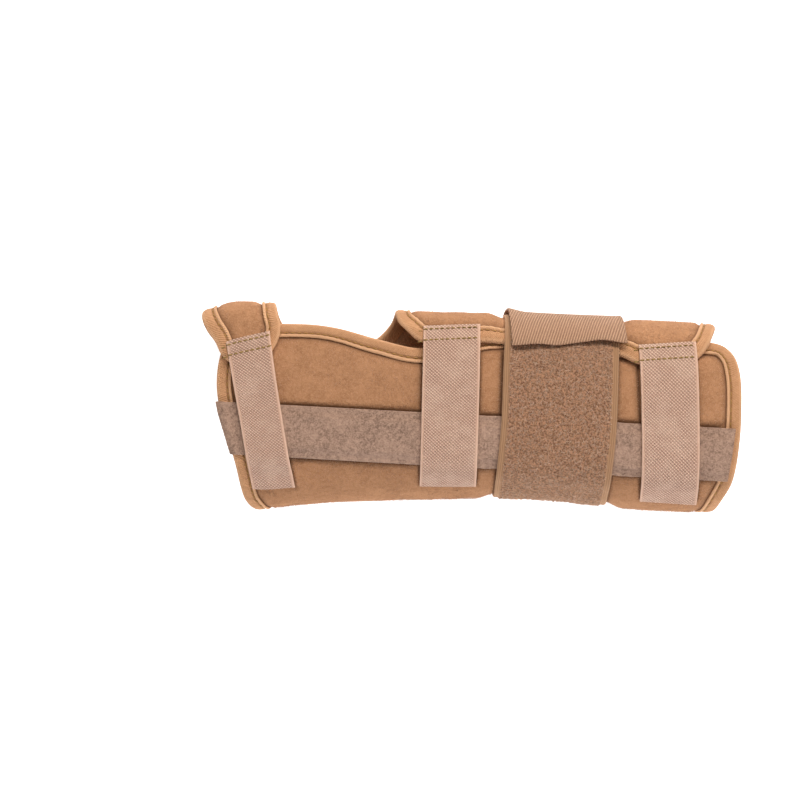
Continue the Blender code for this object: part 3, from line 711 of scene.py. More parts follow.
def tape_cloth():
    """Folded knit tape: fine ribs across it, with painted shade in the groove where it is stitched down and
    painted highlights on its lip and fold.
    """
    f = Finish("binding_tape", 0.8, 0.15, TAPE_TAN)
    flat = f.place(True)
    along, depth = f.axis(flat, 0), f.axis(flat, 1)
    ribs = f.waves(f.math("ADD", along, f.math("MULTIPLY", depth, 0.6)), 0.0009)
    fine = f.noise(f.place(), 0.0007, 3.0)
    wear = f.noise(f.place(), 0.006, 4.0)
    share = f.math("ADD", f.math("MULTIPLY", ribs, 0.3), f.math("MULTIPLY", f.span(fine, 0.3, 0.7), 0.55))
    tone = f.mix(share, TAPE_TAN_DARK, TAPE_TAN)
    tone = f.mix(f.math("MULTIPLY", f.span(wear, 0.4, 0.7), 0.35), tone, tuple(c * 1.18 for c in TAPE_TAN))
    # Painted shade: dark in the groove where the tape is stitched down.
    groove_shade = f.math("MULTIPLY", f.span(depth, 0.0040, 0.0046), f.span(depth, 0.0049, 0.0053, 1.0, 0.0))
    tone = f.mix(f.math("MULTIPLY", groove_shade, 0.75), tone, TAPE_GROOVE_SHADE)
    # Painted highlight: light on the raised lip.
    lip = f.math("MULTIPLY", f.span(depth, 0.0050, 0.0056), f.span(depth, 0.0064, 0.0067, 1.0, 0.0))
    tone = f.mix(f.math("MULTIPLY", lip, 0.7), tone, TAPE_PAINTED_HIGHLIGHT)
    # Painted highlight: light along the rounded fold.
    fold = f.span(f.math("ABSOLUTE", depth), 0.0006, 0.0016, 1.0, 0.0)
    tone = f.mix(f.math("MULTIPLY", fold, 0.45), tone, TAPE_PAINTED_HIGHLIGHT)
    return f.finish(tone, f.math("ADD", ribs, fine), 0.00025)


def plain_fibre(name, colour):
    """Loose fibres, a little uneven in colour along the cloth."""
    f = Finish(name, 0.8, 0.3, colour)
    tone = f.mix(f.span(f.noise(f.place(), 0.003, 2.0), 0.3, 0.7), tuple(c * 0.75 for c in colour), colour)
    return f.finish(tone)


def thread(name, colour):
    f = Finish(name, 0.55)
    twist = f.noise(f.place(), 0.0004, 2.0)
    tone = f.mix(f.span(twist, 0.3, 0.7), tuple(c * 0.6 for c in colour), tuple(c * 1.25 for c in colour))
    return f.finish(tone, twist, 0.0001)


def hook_cloth(width):
    """Woven tape with small light hook roots in slanting rows and smooth selvedges."""
    f = Finish("hook_tape_%d" % round(width * 1000), 0.75, 0.2, HOOK_BEIGE)
    flat = f.place(True)
    along, across = f.axis(flat, 0), f.axis(flat, 1)
    sideways = f.math("MULTIPLY", across, 0.8)
    slant = f.waves(f.math("SUBTRACT", along, sideways), 0.00125)
    counter = f.waves(f.math("ADD", along, sideways), 0.00125)
    dots = f.span(f.math("MULTIPLY", slant, counter), 0.25, 0.8)
    gaps = f.span(f.math("ADD", slant, f.math("MULTIPLY", counter, 0.45)), 0.15, 0.7, 1.0, 0.0)
    uneven = f.span(f.noise(f.place(), 0.0008, 2.0), 0.3, 0.7)
    broad = f.noise(f.place(), 0.008, 2.0)
    inner = f.span(f.math("ABSOLUTE", across), width / 2 - 0.0016, width / 2 - 0.0011, 1.0, 0.0)
    tone = f.mix(f.math("MULTIPLY", f.math("MULTIPLY", gaps, inner), 0.75), HOOK_BEIGE, HOOK_GAP)
    light = f.math("MULTIPLY", f.math("MULTIPLY", dots, inner), f.math("MULTIPLY_ADD", uneven, 0.6))
    tone = f.mix(light, tone, HOOK_BEIGE_DOT)
    tone = f.mix(f.math("MULTIPLY", uneven, 0.22), tone, tuple(c * 0.62 for c in HOOK_BEIGE))
    tone = f.mix(f.math("MULTIPLY", f.span(broad, 0.4, 0.7), 0.18), tone, HOOK_BEIGE_DOT)
    rim = f.span(f.math("ABSOLUTE", across), width / 2 - 0.0011, width / 2 - 0.0004)
    tone = f.mix(f.math("MULTIPLY", rim, 0.75), tone, HOOK_SELVEDGE)
    height = f.math("SUBTRACT", f.math("MULTIPLY", dots, inner), f.math("MULTIPLY", gaps, 0.6))
    return f.finish(tone, height, 0.0003)


def loop_cloth():
    """Curly brushed elastic with smooth selvedges."""
    f = Finish("wide_elastic", 0.95, 0.8, LOOP_CURL)
    flat = f.place(True)
    across = f.math("ABSOLUTE", f.axis(flat, 1))
    where = f.place()
    clumps = f.cells(where, 0.0011)
    curls = f.noise(where, 0.0008, 4.0, 0.75)
    pile = f.math("SUBTRACT", f.span(curls, 0.3, 0.7), f.math("MULTIPLY", clumps, 0.6))
    tone = f.mix(f.span(pile, -0.25, 0.65), LOOP_BROWN_DARK, tuple(c * 1.35 for c in LOOP_BROWN))
    rim = f.span(across, WIDE_WIDTH / 2 - 0.0031, WIDE_WIDTH / 2 - 0.0024)
    thread_lines = f.waves(f.axis(flat, 1), 0.0009)
    lines = f.math("MULTIPLY", thread_lines, 0.7)
    edge_tone = f.mix(lines, tuple(c * 0.72 for c in WIDE_SELVEDGE), WIDE_SELVEDGE)
    tone = f.mix(rim, tone, edge_tone)
    height = f.mix(rim, pile, f.math("MULTIPLY", thread_lines, 0.3))
    return f.finish(tone, height, 0.0006)


def tab_cloth():
    """Ribbed back of a hook tab, with slanting ribs."""
    f = Finish("hook_tab", 0.7, 0.15, TAB_TAN)
    flat = f.place(True)
    slant = f.math("ADD", f.axis(flat, 1), f.math("MULTIPLY", f.axis(flat, 0), 0.45))
    ribs = f.waves(slant, 0.0012)
    fine = f.noise(f.place(), 0.0006, 2.0)
    share = f.math("ADD", f.math("MULTIPLY", ribs, 0.7), f.math("MULTIPLY", f.span(fine, 0.3, 0.7), 0.3))
    return f.finish(f.mix(share, TAB_TAN_DARK, TAB_TAN), ribs, 0.0003)


def make_sleeve(wrap, edge, creases, finishes):
    """The padded panel: brushed outside and knit lining, pressed thin under the tape."""
    under_tape = TAPE_WIDTH - 0.0008
    ring_depths = [TAPE_WIDTH + past for past in (0.0001, 0.0009, 0.0021)]
    points, inward, _ = edge.stations(EDGE_STEP * 1.1)
    border = points + inward * under_tape
    placed = [border]
    for depth in ring_depths:
        row = points + inward * depth
        placed.append(row[edge.depths(row) > depth - 0.0002])
    xs = np.arange(0.004, LENGTH, SLEEVE_STEP)
    ss = np.arange(0.0, GIRTH * 1.3, SLEEVE_STEP)
    lattice = np.stack(np.meshgrid(xs, ss, indexing="ij"), axis=-1)
    lattice[::2, :, 1] += SLEEVE_STEP / 2
    lattice = lattice.reshape(-1, 2)
    room = CREASE_ROWS[-1] + SLEEVE_STEP * 0.3
    clear = np.array([creases.tree.find((x, s, 0.0))[2] > room for x, s in lattice])
    lattice = np.concatenate([lattice[clear], creases.beside()])
    lattice = lattice[edge.depths(lattice) > ring_depths[-1] + SLEEVE_STEP * 0.5]
    flat = np.concatenate(placed + [lattice])
    count = len(border)
    links = [(k, (k + 1) % count) for k in range(count)]
    flat, _, faces, *_ = delaunay_2d_cdt([Vector(p) for p in flat], links, [], 1, 1e-7)
    flat = np.array([tuple(p) for p in flat])
    x, turn = flat[:, 0], flat[:, 1] / GIRTH
    depth = edge.depths(flat)
    full = smooth_step(TAPE_WIDTH - 0.0004, TAPE_WIDTH + 0.0032, depth)
    soft = full * (0.00012 * ripple(x, flat[:, 1], 0.011, 3) + 0.00022 * ripple(x, flat[:, 1], 0.034, 5))
    pinched = TAPE_WALL + 0.0002
    climb = flap_climb(turn)
    dip, painted_crease_shade = creases.dips(flat)
    outer = wrap.at(x, turn, climb + SLEEVE_THICK - pinched * (1 - full) + soft - dip * full)
    inner = wrap.at(x, turn, climb + TAPE_WALL * (1 - full) + 0.0001 * ripple(x, flat[:, 1], 0.02, 9) * full)
    total = len(flat)
    triangles = np.array(faces)
    sides = dict.fromkeys((f[k], f[(k + 1) % 3]) for f in faces for k in range(3))
    rim = [(a, b) for a, b in sides if (b, a) not in sides]
    rim = np.array([(b, a, a + total, b + total) for a, b in rim])
    all_faces = triangles.tolist() + (triangles[:, ::-1] + total).tolist() + rim.tolist()
    kinds = [0] * len(triangles) + [1] * len(triangles) + [0] * len(rim)
    piece = add_object("brace_sleeve", np.concatenate([outer, inner]), all_faces, finishes,
                       np.concatenate([flat, flat]), finish_of=kinds)
    # Painted shade: dark beside the tape and in the creases along the pocket and straps.
    painted_shade_beside_tape = 1 - smooth_step(TAPE_WIDTH, TAPE_WIDTH + 0.0016, depth)
    add_shade(piece, np.concatenate([np.maximum(painted_crease_shade, painted_shade_beside_tape), np.zeros(total)]))
    return piece, flat[(depth > TAPE_WIDTH + 0.0016) & (painted_crease_shade < 0.3)]


def add_shade(piece, shade):
    """Painted shade at each point, from 0 to 1, for its material: how much it lies in a crease."""
    layer = piece.data.attributes.new("shade", "FLOAT", "POINT")
    layer.data.foreach_set("value", np.asarray(shade, dtype=np.float32))


def add_hairs(name, wrap, roots, rises, length, lie, finish):
    """Short tapered hairs on a cloth. roots: flat places. rises: heights. lie: its lean, in radians."""
    rng = np.random.default_rng(SEED + len(name))
    count = len(roots)
    lean = rng.uniform(0.55, 1.35, count)
    way = lie + rng.normal(0.0, 0.9, count)
    long = length * rng.uniform(0.55, 1.25, count)
    corner = rng.uniform(0, 2 * math.pi, count)[:, None] + np.array([0.0, 2.094, 4.189])[None, :]
    x = roots[:, :1] + HAIR_RADIUS * np.cos(corner)
    s = roots[:, 1:] + HAIR_RADIUS * np.sin(corner)
    tip_x = roots[:, 0] + long * np.sin(lean) * np.cos(way)
    tip_s = roots[:, 1] + long * np.sin(lean) * np.sin(way)
    x = np.concatenate([x, tip_x[:, None]], axis=1)
    s = np.concatenate([s, tip_s[:, None]], axis=1)
    rise = np.repeat(rises[:, None] - 0.00012, 4, axis=1)
    rise[:, 3] += 0.00012 + long * np.cos(lean)
    points = wrap.at(x, s / GIRTH, rise)
    faces = np.array([(0, 1, 3), (1, 2, 3), (2, 0, 3), (2, 1, 0)])[None] + 4 * np.arange(count)[:, None, None]
    return add_object(name, points, faces.reshape(-1, 3).tolist(), [finish], sharp=math.radians(170))


def make_sleeve_hairs(wrap, places, finish):
    """Fuzz on the brushed side, thicker on the little-finger side."""
    rng = np.random.default_rng(SEED)
    turn = places[:, 1] / GIRTH
    weight = 0.45 + smooth_step(0.26, 0.34, turn) * (1 - smooth_step(0.55, 0.7, turn))
    picked = rng.choice(len(places), HAIR_COUNT, p=weight / weight.sum())
    roots = places[picked] + rng.uniform(-0.5, 0.5, (HAIR_COUNT, 2)) * SLEEVE_STEP
    rises = flap_climb(roots[:, 1] / GIRTH) + SLEEVE_THICK
    return add_hairs("sleeve_fuzz", wrap, roots, rises, HAIR_LENGTH, -1.2, finish)


# The tape's section, from its inner edge on the lining round the fold to its lip on the brushed side, and
# back inside. depth: from the fold, in mm. rise: above the lining side, in mm.
TapePoint = namedtuple("TapePoint", "depth rise")
TAPE_SECTION = (
    TapePoint(6.60, 0.30),
    TapePoint(6.45, 0.02),
    TapePoint(5.60, -0.10),
    TapePoint(4.75, 0.15),
    TapePoint(4.00, -0.10),
    TapePoint(2.40, -0.12),
    TapePoint(1.20, 0.05),
    TapePoint(0.45, 0.50),
    TapePoint(0.05, 1.10),
    TapePoint(0.00, 1.75),
    TapePoint(0.15, 2.40),
    TapePoint(0.60, 2.95),
    TapePoint(1.30, 3.28),
    TapePoint(2.30, 3.40),
    TapePoint(3.40, 3.32),
    TapePoint(4.20, 3.05),
    TapePoint(4.70, 2.60),
    TapePoint(5.05, 2.75),
    TapePoint(5.35, 3.20),
    TapePoint(5.80, 3.42),
    TapePoint(6.25, 3.30),
    TapePoint(6.55, 2.95),
    TapePoint(6.60, 2.50),
    TapePoint(6.30, 2.30),
    TapePoint(4.00, 2.25),
    TapePoint(1.50, 2.25),
    TapePoint(0.85, 1.75),
    TapePoint(1.50, 0.90),
    TapePoint(4.00, 0.85),
    TapePoint(6.30, 0.60),
)
STITCH_DEPTH = 0.0047
STITCH_RISE = 0.00275
BINDING_THREAD = 0.00030
STRAP_THREAD = 0.00034
STITCH_PITCH = 0.0030
STRAP_STITCH = 0.0024
STRAP_STITCH_ROWS = (0.0016, 0.0058)
STITCH_OVERRUN = 0.0026


def make_binding(wrap, edge, finish):
    """The tape folded over the sleeve's edge, puckered a little between its stitches."""
    points, inward, along = edge.stations(EDGE_STEP)
    rows = []
    flat = []
    for section in TAPE_SECTION:
        depth, rise = section.depth / 1000, section.rise / 1000
        side = 1.0 if rise > SLEEVE_THICK / 2 else -1.0
        place = points + inward * depth
        turn = place[:, 1] / GIRTH
        wave = 0.00014 * ripple(along, np.full_like(along, depth * 3), 0.012, 21)
        pucker = 0.00013 * np.cos(along * 2 * math.pi / STITCH_PITCH) * (depth > 0.003)
        upper = smooth_step(0.0018, 0.0030, rise)
        rows.append(wrap.at(place[:, 0], turn, flap_climb(turn) + rise + (wave + pucker) * upper))
        flat.append(np.stack([along, np.full_like(along, depth * side)], axis=1))
    grid = np.stack(rows, axis=1)
    stations, columns = grid.shape[:2]
    index = np.arange(stations * columns).reshape(stations, columns)
    ahead, beside = np.roll(index, -1, axis=0), np.roll(index, -1, axis=1)
    both = np.roll(ahead, -1, axis=1)
    faces = np.stack([index, ahead, both, beside], axis=-1).reshape(-1, 4)
    piece = add_object("brace_binding", grid, faces, [finish], np.stack(flat, axis=1), sharp=math.radians(80))
    return piece


def make_binding_stitches(wrap, edge, finish):
    points, inward, _ = edge.stations(STITCH_PITCH)
    start = points + inward * STITCH_DEPTH
    stop = np.roll(start, -1, axis=0)
    shares = np.array([0.12, 0.3, 0.5, 0.7, 0.88])
    arch = np.array([-0.00035, 0.00012, 0.00022, 0.00012, -0.00035])
    place = start[:, None, :] * (1 - shares)[None, :, None] + stop[:, None, :] * shares[None, :, None]
    turn = place[..., 1] / GIRTH
    paths = wrap.at(place[..., 0], turn, flap_climb(turn) + STITCH_RISE + arch[None, :])
    ups = wrap.outward(start[:, 0], start[:, 1] / GIRTH)
    return add_threads("binding_stitches", paths, ups, BINDING_THREAD, [finish])


def soften(turns, rises, reach):
    """Rise along a strap on even turns, with its corners rounded over a length of reach."""
    even = np.linspace(turns[0], turns[-1], 900)
    step = (even[1] - even[0]) * GIRTH
    half = max(1, round(reach / step))
    kernel = np.hanning(2 * half + 3)
    padded = np.pad(np.interp(even, turns, rises), half + 1, mode="edge")
    return even, np.convolve(padded, kernel / kernel.sum(), mode="valid")


def across_profile(across, width, thick, round_off=0.0005):
    """Half thickness across a strap, rounded off at its sides."""
    inset = np.clip((width / 2 - np.abs(across)) / round_off, 0.0, 1.0)
    return thick / 2 * (0.45 + 0.55 * np.sqrt(1 - (1 - inset) ** 2))


def side_columns(width, step):
    """Places across a strap: even, with close ones at its sides."""
    half = width / 2
    inner = half - 0.0009
    even = np.linspace(-inner, inner, max(3, round(2 * inner / step)))
    rim = [half - 0.0005, half - 0.0002, half]
    return np.concatenate([np.negative(rim[::-1]), even, rim])


def make_hook_strap(wrap, strap, finish):
    """A hook strap from the flap it is sewn to, across the back and over the pocket."""
    start_x, end_x = strap.start_along * LENGTH, strap.end_along * LENGTH
    middle_x = (start_x + end_x) / 2

    def turn_of(x, across, rise):
        return wrap.turn_at(x, across * WIDTH, rise, BACK)

    start = turn_of(start_x, strap.start_across, ON_FLAP)
    stop = turn_of(end_x, strap.end_across, ON_SLEEVE)
    flap_end = turn_of(start_x, strap.flap_across, ON_FLAP)
    pocket_start = turn_of(middle_x, POCKET_THUMB_SIDE.across, ON_POCKET)
    pocket_end = turn_of(middle_x, POCKET_LITTLE_SIDE.across, ON_POCKET)
    slack = STRAP_SLACK / GIRTH
    knots = [start - 0.02, flap_end + slack, pocket_start - slack, pocket_end + slack,
             pocket_end + slack + STRAP_SLOPE / GIRTH, stop + 0.02]
    rises = [ON_FLAP, ON_FLAP, ON_POCKET, ON_POCKET, ON_SLEEVE, ON_SLEEVE]
    even, soft_rise = soften(knots, rises, STRAP_BEND)
    length = math.hypot((stop - start) * GIRTH, end_x - start_x)
    count = round(length / STRAP_STEP)
    share = np.linspace(0.0, 1.0, count)[:, None]
    across = side_columns(strap.width, STRAP_STEP)[None, :]
    slant = (end_x - start_x) / ((stop - start) * GIRTH)
    slip = -across * slant / GIRTH * (1 - share) ** 2
    turn = start + (stop - start) * share + slip
    x = start_x + (end_x - start_x) * share + across
    turn, x = np.broadcast_arrays(turn, x)
    rise = np.interp(turn, even, soft_rise)
    half = across_profile(across, strap.width, HOOK_THICK)
    end_in = np.clip(np.minimum(share, 1 - share) * length / 0.0005, 0.0, 1.0)
    half = half * (0.6 + 0.4 * np.sqrt(1 - (1 - end_in) ** 2))
    wave = 0.00012 * ripple(x, turn * GIRTH, 0.016, len(strap.name))
    middle = rise + HOOK_THICK / 2 + wave
    flat = np.stack(np.broadcast_arrays(share * length, across), axis=-1)
    top, bottom = wrap.at(x, turn, middle + half), wrap.at(x, turn, middle - half)
    piece = add_band("brace_" + strap.name, top, bottom, flat, [finish], outward_first=False)
    return piece, (start, stop, start_x, end_x, even, soft_rise, length)


def make_pocket(wrap, edge, finish):
    """The strip along the back, from inside the hand end round the edge to the elbow end."""
    thumb_y, little_y = (line.across * WIDTH for line in (POCKET_THUMB_SIDE, POCKET_LITTLE_SIDE))
    width = thumb_y - little_y
    columns = side_columns(width, 0.0009) / width + 0.5
    probe_x = np.linspace(0.004, LENGTH, 60)
    thumb_turns, little_turns = ([wrap.turn_at(x, y, ON_SLEEVE, BACK) for x in probe_x]
                                 for y in (thumb_y, little_y))

    def turn_between(x, share):
        x = np.maximum(x, probe_x[0])
        return np.interp(x, probe_x, thumb_turns) * (1 - share) + np.interp(x, probe_x, little_turns) * share

    starts = []
    for share in columns:
        x = SLEEVE_EDGE[-2].along * LENGTH
        for _ in range(4):
            x = edge.hand_end(float(turn_between(x, share)))
        starts.append(x)
    starts = np.array(starts)
    ends = (POCKET_THUMB_SIDE.end * (1 - columns) + POCKET_LITTLE_SIDE.end * columns) * LENGTH
    low_rows, high_rows, flat_rows = [], [], []
    across = (columns - 0.5) * width

    def row(x, low, high, spent):
        shape = np.broadcast_to(x, columns.shape)
        turn = turn_between(shape, columns)
        low_rows.append(wrap.at(shape, turn, low))
        high_rows.append(wrap.at(shape, turn, high))
        flat_rows.append(np.stack([np.full_like(columns, spent), across], axis=1))

    gap, wall = 0.00035, POCKET_TURN_WALL
    spent = 0.0
    for back in np.linspace(POCKET_TURN_IN, 0.002, 9):
        row(starts + back, -gap, -gap - wall, spent)
        spent += 0.00125
    for angle in np.linspace(-90, 90, 9)[1:-1]:
        c, s = math.cos(math.radians(angle)), math.sin(math.radians(angle))
        middle = SLEEVE_THICK / 2
        reach_low, reach_high = middle + gap, middle + gap + wall
        row(starts + 0.0015 - 0.0018 * c, middle + reach_low * s, middle + reach_high * s, spent)
        high_rows[-1] = wrap.at(starts + 0.0015 - (0.0018 + wall) * c, turn_between(starts, columns),
                                middle + reach_high * s)
        spent += 0.0009
    body = np.linspace(0.0, 1.0, 190)
    over_tape = np.concatenate([[0.0020, 0.0032, 0.0045, 0.0056, 0.0066, 0.0080, TAPE_PASSED],
                                TAPE_PASSED + body[1:]])
    total = float((ends - starts).mean())
    for reach in over_tape:
        if reach <= TAPE_PASSED:
            x = starts + reach
        else:
            share = reach - TAPE_PASSED
            x = (starts + TAPE_PASSED) * (1 - share) + ends * share
        run = x - starts
        ridge = -0.00035 * np.exp(-((run - 0.0050) / 0.0009) ** 2) - 0.0003 * smooth_step(0.0062, 0.0080, run)
        ridge = ridge * (1 - smooth_step(0.010, 0.016, run))
        fill = smooth_step(0.006, 0.020, run) * (1 - smooth_step(-0.006, 0.0, x - ends))
        inside = np.minimum(columns, 1 - columns) * width
        channel = np.exp(-((inside - 0.0031) / 0.0007) ** 2)
        edge_round = np.sqrt(np.clip(1 - (1 - np.clip(inside / 0.0006, 0, 1)) ** 2, 0, 1))
        stuffed = fill * smooth_step(0.0012, 0.0050, inside)
        body_thick = POCKET_RIM + (POCKET_THICK - POCKET_RIM) * stuffed
        body_thick = body_thick - 0.0004 * channel * smooth_step(0.010, 0.014, run)
        body_thick = body_thick * (0.45 + 0.55 * edge_round)
        wave = 0.00018 * ripple(x, across, 0.02, 31) * smooth_step(0.004, 0.01, run)
        base = ON_SLEEVE + ridge + np.maximum(wave, -0.0001)
        row(x, base, base + body_thick, spent)
        spent += total / 195
    top, bottom, flat = np.array(high_rows), np.array(low_rows), np.array(flat_rows)
    piece = add_band("brace_pocket", top, bottom, flat, [finish])
    return piece


def make_wide_strap(wrap, finish, curl_finish):
    """The wide strap: once round, with its end over its start at the thumb side of the palm."""
    middle = WIDE_ALONG * LENGTH
    slack = STRAP_SLACK / GIRTH
    flap_end = wrap.turn_at(middle, WIDE_FLAP_ACROSS * WIDTH, ON_FLAP, BACK)
    pocket_start = wrap.turn_at(middle, POCKET_THUMB_SIDE.across * WIDTH, ON_POCKET, BACK)
    pocket_end = wrap.turn_at(middle, POCKET_LITTLE_SIDE.across * WIDTH, ON_POCKET, BACK)
    knots = [CLIMB_END - 1.0, flap_end + slack, pocket_start - slack, pocket_end + slack,
             pocket_end + slack + STRAP_SLOPE / GIRTH, WIDE_CLIMB, WIDE_CLIMBED, WIDE_END + 0.01]
    rises = [ON_FLAP, ON_FLAP, ON_POCKET, ON_POCKET, ON_SLEEVE, ON_SLEEVE, ON_SLEEVE + WIDE_LAYER,
             ON_SLEEVE + WIDE_LAYER]
    even, soft_rise = soften(knots, rises, STRAP_BEND)
    length = (WIDE_END - WIDE_START) * GIRTH
    share = np.linspace(0.0, 1.0, round(length / WIDE_STEP))[:, None]
    turn = WIDE_START + (WIDE_END - WIDE_START) * share
    across = side_columns(WIDE_WIDTH, WIDE_STEP)[None, :]
    turn, across = np.broadcast_arrays(turn, across)
    side_wave = 0.0004 * np.sin(turn * GIRTH / 0.023) + 0.0002 * np.sin(turn * GIRTH / 0.0071)
    x = middle + across + side_wave * np.abs(across) / (WIDE_WIDTH / 2)
    later = np.interp(turn, even, soft_rise) + flap_climb(turn)
    early = flap_climb(turn + 1.0) + ON_SLEEVE
    rise = np.where(turn < CLIMB_END - 1.0, early, later)
    half = across_profile(across, WIDE_WIDTH, WIDE_THICK, 0.0008)
    selvedge = smooth_step(WIDE_WIDTH / 2 - 0.0032, WIDE_WIDTH / 2 - 0.0022, np.abs(across))
    clumps = 0.00020 * ripple(x, turn * GIRTH, 0.0016, 41) + 0.00012 * ripple(x, turn * GIRTH, 0.009, 43)
    top_rise = rise + WIDE_THICK / 2 + half * (1 - 0.35 * selvedge) + (1 - selvedge) * clumps
    flat = np.stack(np.broadcast_arrays(share * length, across), axis=-1)
    top, bottom = wrap.at(x, turn, top_rise), wrap.at(x, turn, rise + WIDE_THICK / 2 - half)
    piece = add_band("brace_wide_strap", top, bottom, flat, [finish], outward_first=False)

    rng = np.random.default_rng(SEED + 1)
    rows = rng.integers(2, x.shape[0] - 2, CURL_COUNT)
    inside = np.flatnonzero(selvedge[0] < 0.2)
    columns = rng.choice(inside, CURL_COUNT)
    size = CURL_RADIUS * rng.uniform(0.6, 1.25, CURL_COUNT)
    way = rng.uniform(0.0, math.pi, CURL_COUNT)
    swing = np.radians(np.linspace(-15.0, 195.0, 6))
    reach = -size[:, None] * np.cos(swing)[None, :]
    twist = way[:, None] + 0.5 * np.sin(swing)[None, :] * rng.normal(0.0, 1.0, CURL_COUNT)[:, None]
    root_x, root_s = x[rows, columns][:, None], turn[rows, columns][:, None] * GIRTH
    height = top_rise[rows, columns][:, None] + size[:, None] * 0.75 * np.sin(swing)[None, :]
    paths = wrap.at(root_x + reach * np.cos(twist), (root_s + reach * np.sin(twist)) / GIRTH, height)
    ups = wrap.outward(root_x[:, 0], root_s[:, 0] / GIRTH)
    curls = add_threads("wide_strap_curls", paths, ups, CURL_THREAD, [curl_finish], sides=3)
    return piece, curls


def make_tab(wrap, finish):
    """The hook tab on the strap's end, over the top edge, with its free edge a little lifted."""
    left, right = wide_strap_sides()
    over_end = ON_SLEEVE + 2 * WIDE_LAYER
    over_start = ON_SLEEVE + WIDE_LAYER
    free_rise = ON_FLAP + WIDE_LAYER + TAB_LIFT
    stops = [wrap.turn_at(x + TAB_SHIFT, across * WIDTH, free_rise, FLAP)
             for x, across in ((left, TAB_FREE_LEFT), (right, TAB_FREE_RIGHT))]
    knots = [TAB_START - 0.02, WIDE_END + 0.004, TAB_STEP_DOWN, max(stops) + 0.02]
    even, soft_rise = soften(knots, [over_end, over_end, over_start, over_start], 0.004)
    columns = side_columns(WIDE_WIDTH, STRAP_STEP) / WIDE_WIDTH + 0.5
    length = (sum(stops) / 2 - TAB_START) * GIRTH
    travel = np.linspace(0.0, 1.0, round(length / STRAP_STEP))[:, None]
    across = np.broadcast_to(columns[None, :], (len(travel), len(columns)))
    edge_wave = -0.0010 * np.exp(-((across - 0.70) / 0.16) ** 2) + 0.00015 * np.sin(across * 21.0)
    last = stops[0] + (stops[1] - stops[0]) * across + edge_wave / GIRTH
    turn = TAB_START + (last - TAB_START) * travel
    flutter = 0.65 + 0.35 * np.sin(across * 9.0 + 0.4)
    lift = TAB_LIFT * np.maximum(0.0, travel - 0.6) / 0.4 * flutter
    curl = np.exp(-(across / 0.10) ** 2) * np.exp(-((turn - TAB_CURL_AT) / 0.035) ** 2)
    lift = lift + TAB_CURL * curl
    x = left + WIDE_WIDTH * across + TAB_SHIFT * travel
    rise = np.interp(turn, even, soft_rise) + flap_climb(turn) + lift
    from_side = np.minimum(across, 1 - across) * WIDE_WIDTH
    inset = np.minimum(from_side, np.minimum(travel, 1 - travel) * length)
    half = TAB_THICK / 2 * (0.5 + 0.5 * np.sqrt(1 - (1 - np.clip(inset / 0.0005, 0.0, 1.0)) ** 2))
    flat = np.stack(np.broadcast_arrays(travel * length, (across - 0.5) * WIDE_WIDTH), axis=-1)
    middle = rise + TAB_THICK / 2
    top, bottom = wrap.at(x, turn, middle + half), wrap.at(x, turn, middle - half)
    piece = add_band("brace_tab", top, bottom, flat, [finish], outward_first=False)
    return piece


def make_strap_stitches(wrap, strap, run, finish):
    """Two rows of stitches that hold a strap's sewn end and run on over the tape beside it."""
    start, stop, start_x, end_x, even, soft_rise, length = run
    slant = (end_x - start_x) / ((stop - start) * GIRTH)
    paths = []
    ups = []
    for down in STRAP_STITCH_ROWS:
        share = down / length
        turn_middle = start + (stop - start) * share
        x_middle = start_x + (end_x - start_x) * share
        low = -strap.width / 2 - STITCH_OVERRUN
        count = int((strap.width + STITCH_OVERRUN) / STRAP_STITCH)
        for k in range(count):
            spots = low + STRAP_STITCH * (k + np.array([0.10, 0.3, 0.5, 0.7, 0.90]))
            arch = np.array([-0.0004, 0.00018, 0.00028, 0.00018, -0.0004])
            turns = turn_middle - spots * slant / GIRTH
            rise = np.interp(turns, even, soft_rise) + HOOK_THICK + arch
            rise = rise - (HOOK_THICK + EASE) * (spots.mean() < -strap.width / 2)
            paths.append(wrap.at(x_middle + spots, turns, rise))
            ups.append(wrap.outward(x_middle, turn_middle))
    return add_threads(strap.name + "_stitches", np.array(paths), np.array(ups), STRAP_THREAD, [finish])


def make_floor():
    bpy.ops.mesh.primitive_plane_add(size=6.0, location=(0.0, 0.0, -0.0005))
    floor = bpy.context.object
    floor.name = "studio_floor"
    f = Finish("pale_floor", 0.9)
    tone = f.mix(f.noise(f.place(), 0.5, 2.0), FLOOR_WHITE, tuple(c * 0.99 for c in FLOOR_WHITE))
    f.shader.inputs["Emission Color"].default_value = (1.0, 1.0, 1.0, 1.0)
    f.shader.inputs["Emission Strength"].default_value = FLOOR_GLOW
    floor.data.materials.append(f.finish(tone))


StudioLight = namedtuple("StudioLight", "name location target size power colour")
BRACE_MIDDLE = (0.0, 0.0, 0.03)
LIGHTS = (
    StudioLight("thumb_side_light", (0.12, 0.95, 0.85), BRACE_MIDDLE, (1.2, 0.4), 19.0, (1.0, 0.98, 0.95)),
    StudioLight("little_side_light", (0.1, -1.0, 0.50), BRACE_MIDDLE, (1.4, 0.3), 12.0, (0.92, 0.95, 1.0)),
    StudioLight("overhead_light", (0.3, 0.1, 1.6), (0.0, 0.0, 0.0), (0.5, 0.5), 5.5, (1.0, 1.0, 1.0)),
)


def add_light(light):
    data = bpy.data.lights.new(light.name, "AREA")
    data.shape = "RECTANGLE"
    data.size, data.size_y = light.size
    data.energy = light.power
    data.color = light.colour
    lamp = bpy.data.objects.new(light.name, data)
    lamp.location = light.location
    way = Vector(light.target) - Vector(light.location)
    lamp.rotation_euler = way.to_track_quat("-Z", "Y").to_euler()
    bpy.context.scene.collection.objects.link(lamp)


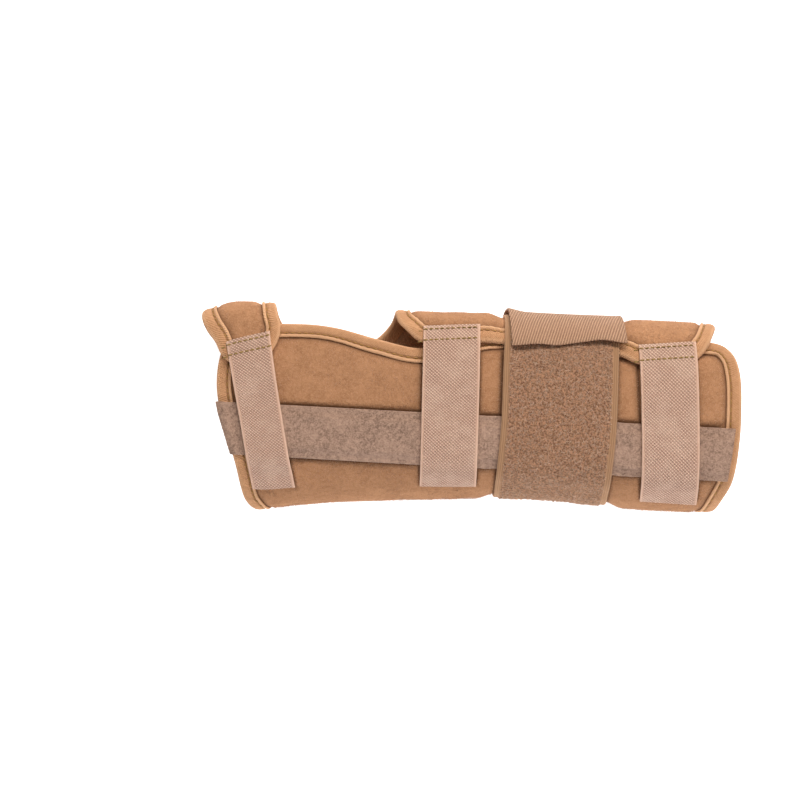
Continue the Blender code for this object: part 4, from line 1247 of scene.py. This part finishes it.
def make_studio():
    """A pale floor, two soft side lights, a weak overhead one and the camera."""
    make_floor()
    for light in LIGHTS:
        add_light(light)
    world = bpy.data.worlds.new("studio")
    world.use_nodes = True
    world.node_tree.nodes["Background"].inputs["Color"].default_value = (1.0, 0.99, 0.98, 1.0)
    world.node_tree.nodes["Background"].inputs["Strength"].default_value = 0.12
    bpy.context.scene.world = world
    camera_data = bpy.data.cameras.new("camera")
    camera_data.sensor_width = 36.0
    camera_data.lens = 99.99
    camera = bpy.data.objects.new("camera", camera_data)
    camera.location = (-0.0289, 0.0046, 1.025)
    camera.rotation_euler = (0.0, 0.0, math.radians(3.0))
    bpy.context.scene.collection.objects.link(camera)
    bpy.context.scene.camera = camera
    bpy.context.scene.view_settings.view_transform = "Standard"


def join_to_brace(piece, slot, *nodes):
    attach(piece, "root")
    if nodes:
        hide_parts(*nodes)


def build_brace():
    wrap = Wrap()
    edge = SleeveEdge(wrap)
    pile = brushed_cloth("sleeve_pile", TAN_PILE, TAN_PILE_DARK, 0.0016, 0.0006, 0.5, painted_crease_shade=True)
    sleeve, brushed = make_sleeve(wrap, edge, Creases(wrap), [pile, lining_cloth()])
    join_to_brace(sleeve, "sleeve_foam", "sleeve")
    join_to_brace(make_sleeve_hairs(wrap, brushed, plain_fibre("sleeve_hair", PILE_HAIR)), "sleeve_foam")

    binding = make_binding(wrap, edge, tape_cloth())
    join_to_brace(binding, "binding_tape", "edge_binding")
    gold = thread("golden_thread", THREAD_GOLD)
    join_to_brace(make_binding_stitches(wrap, edge, gold), "binding_tape")

    pocket_face = brushed_cloth("pocket_loop", POCKET_GREY, POCKET_GREY_DARK, 0.0017, 0.0007, 0.35)
    join_to_brace(make_pocket(wrap, edge, pocket_face), "pocket_loop", "stay_pocket")

    olive = thread("olive_thread", THREAD_OLIVE)
    for strap in HOOK_STRAPS:
        piece, run = make_hook_strap(wrap, strap, hook_cloth(strap.width))
        join_to_brace(piece, "hook_tape", strap.name)
        join_to_brace(make_strap_stitches(wrap, strap, run, olive), "hook_tape")

    wide, curls = make_wide_strap(wrap, loop_cloth(), plain_fibre("curled_yarn", LOOP_CURL))
    join_to_brace(wide, "wide_elastic", "wide_strap")
    join_to_brace(curls, "wide_elastic")
    join_to_brace(make_tab(wrap, tab_cloth()), "hook_tab", "wide_strap_tab")


build_brace()
make_studio()
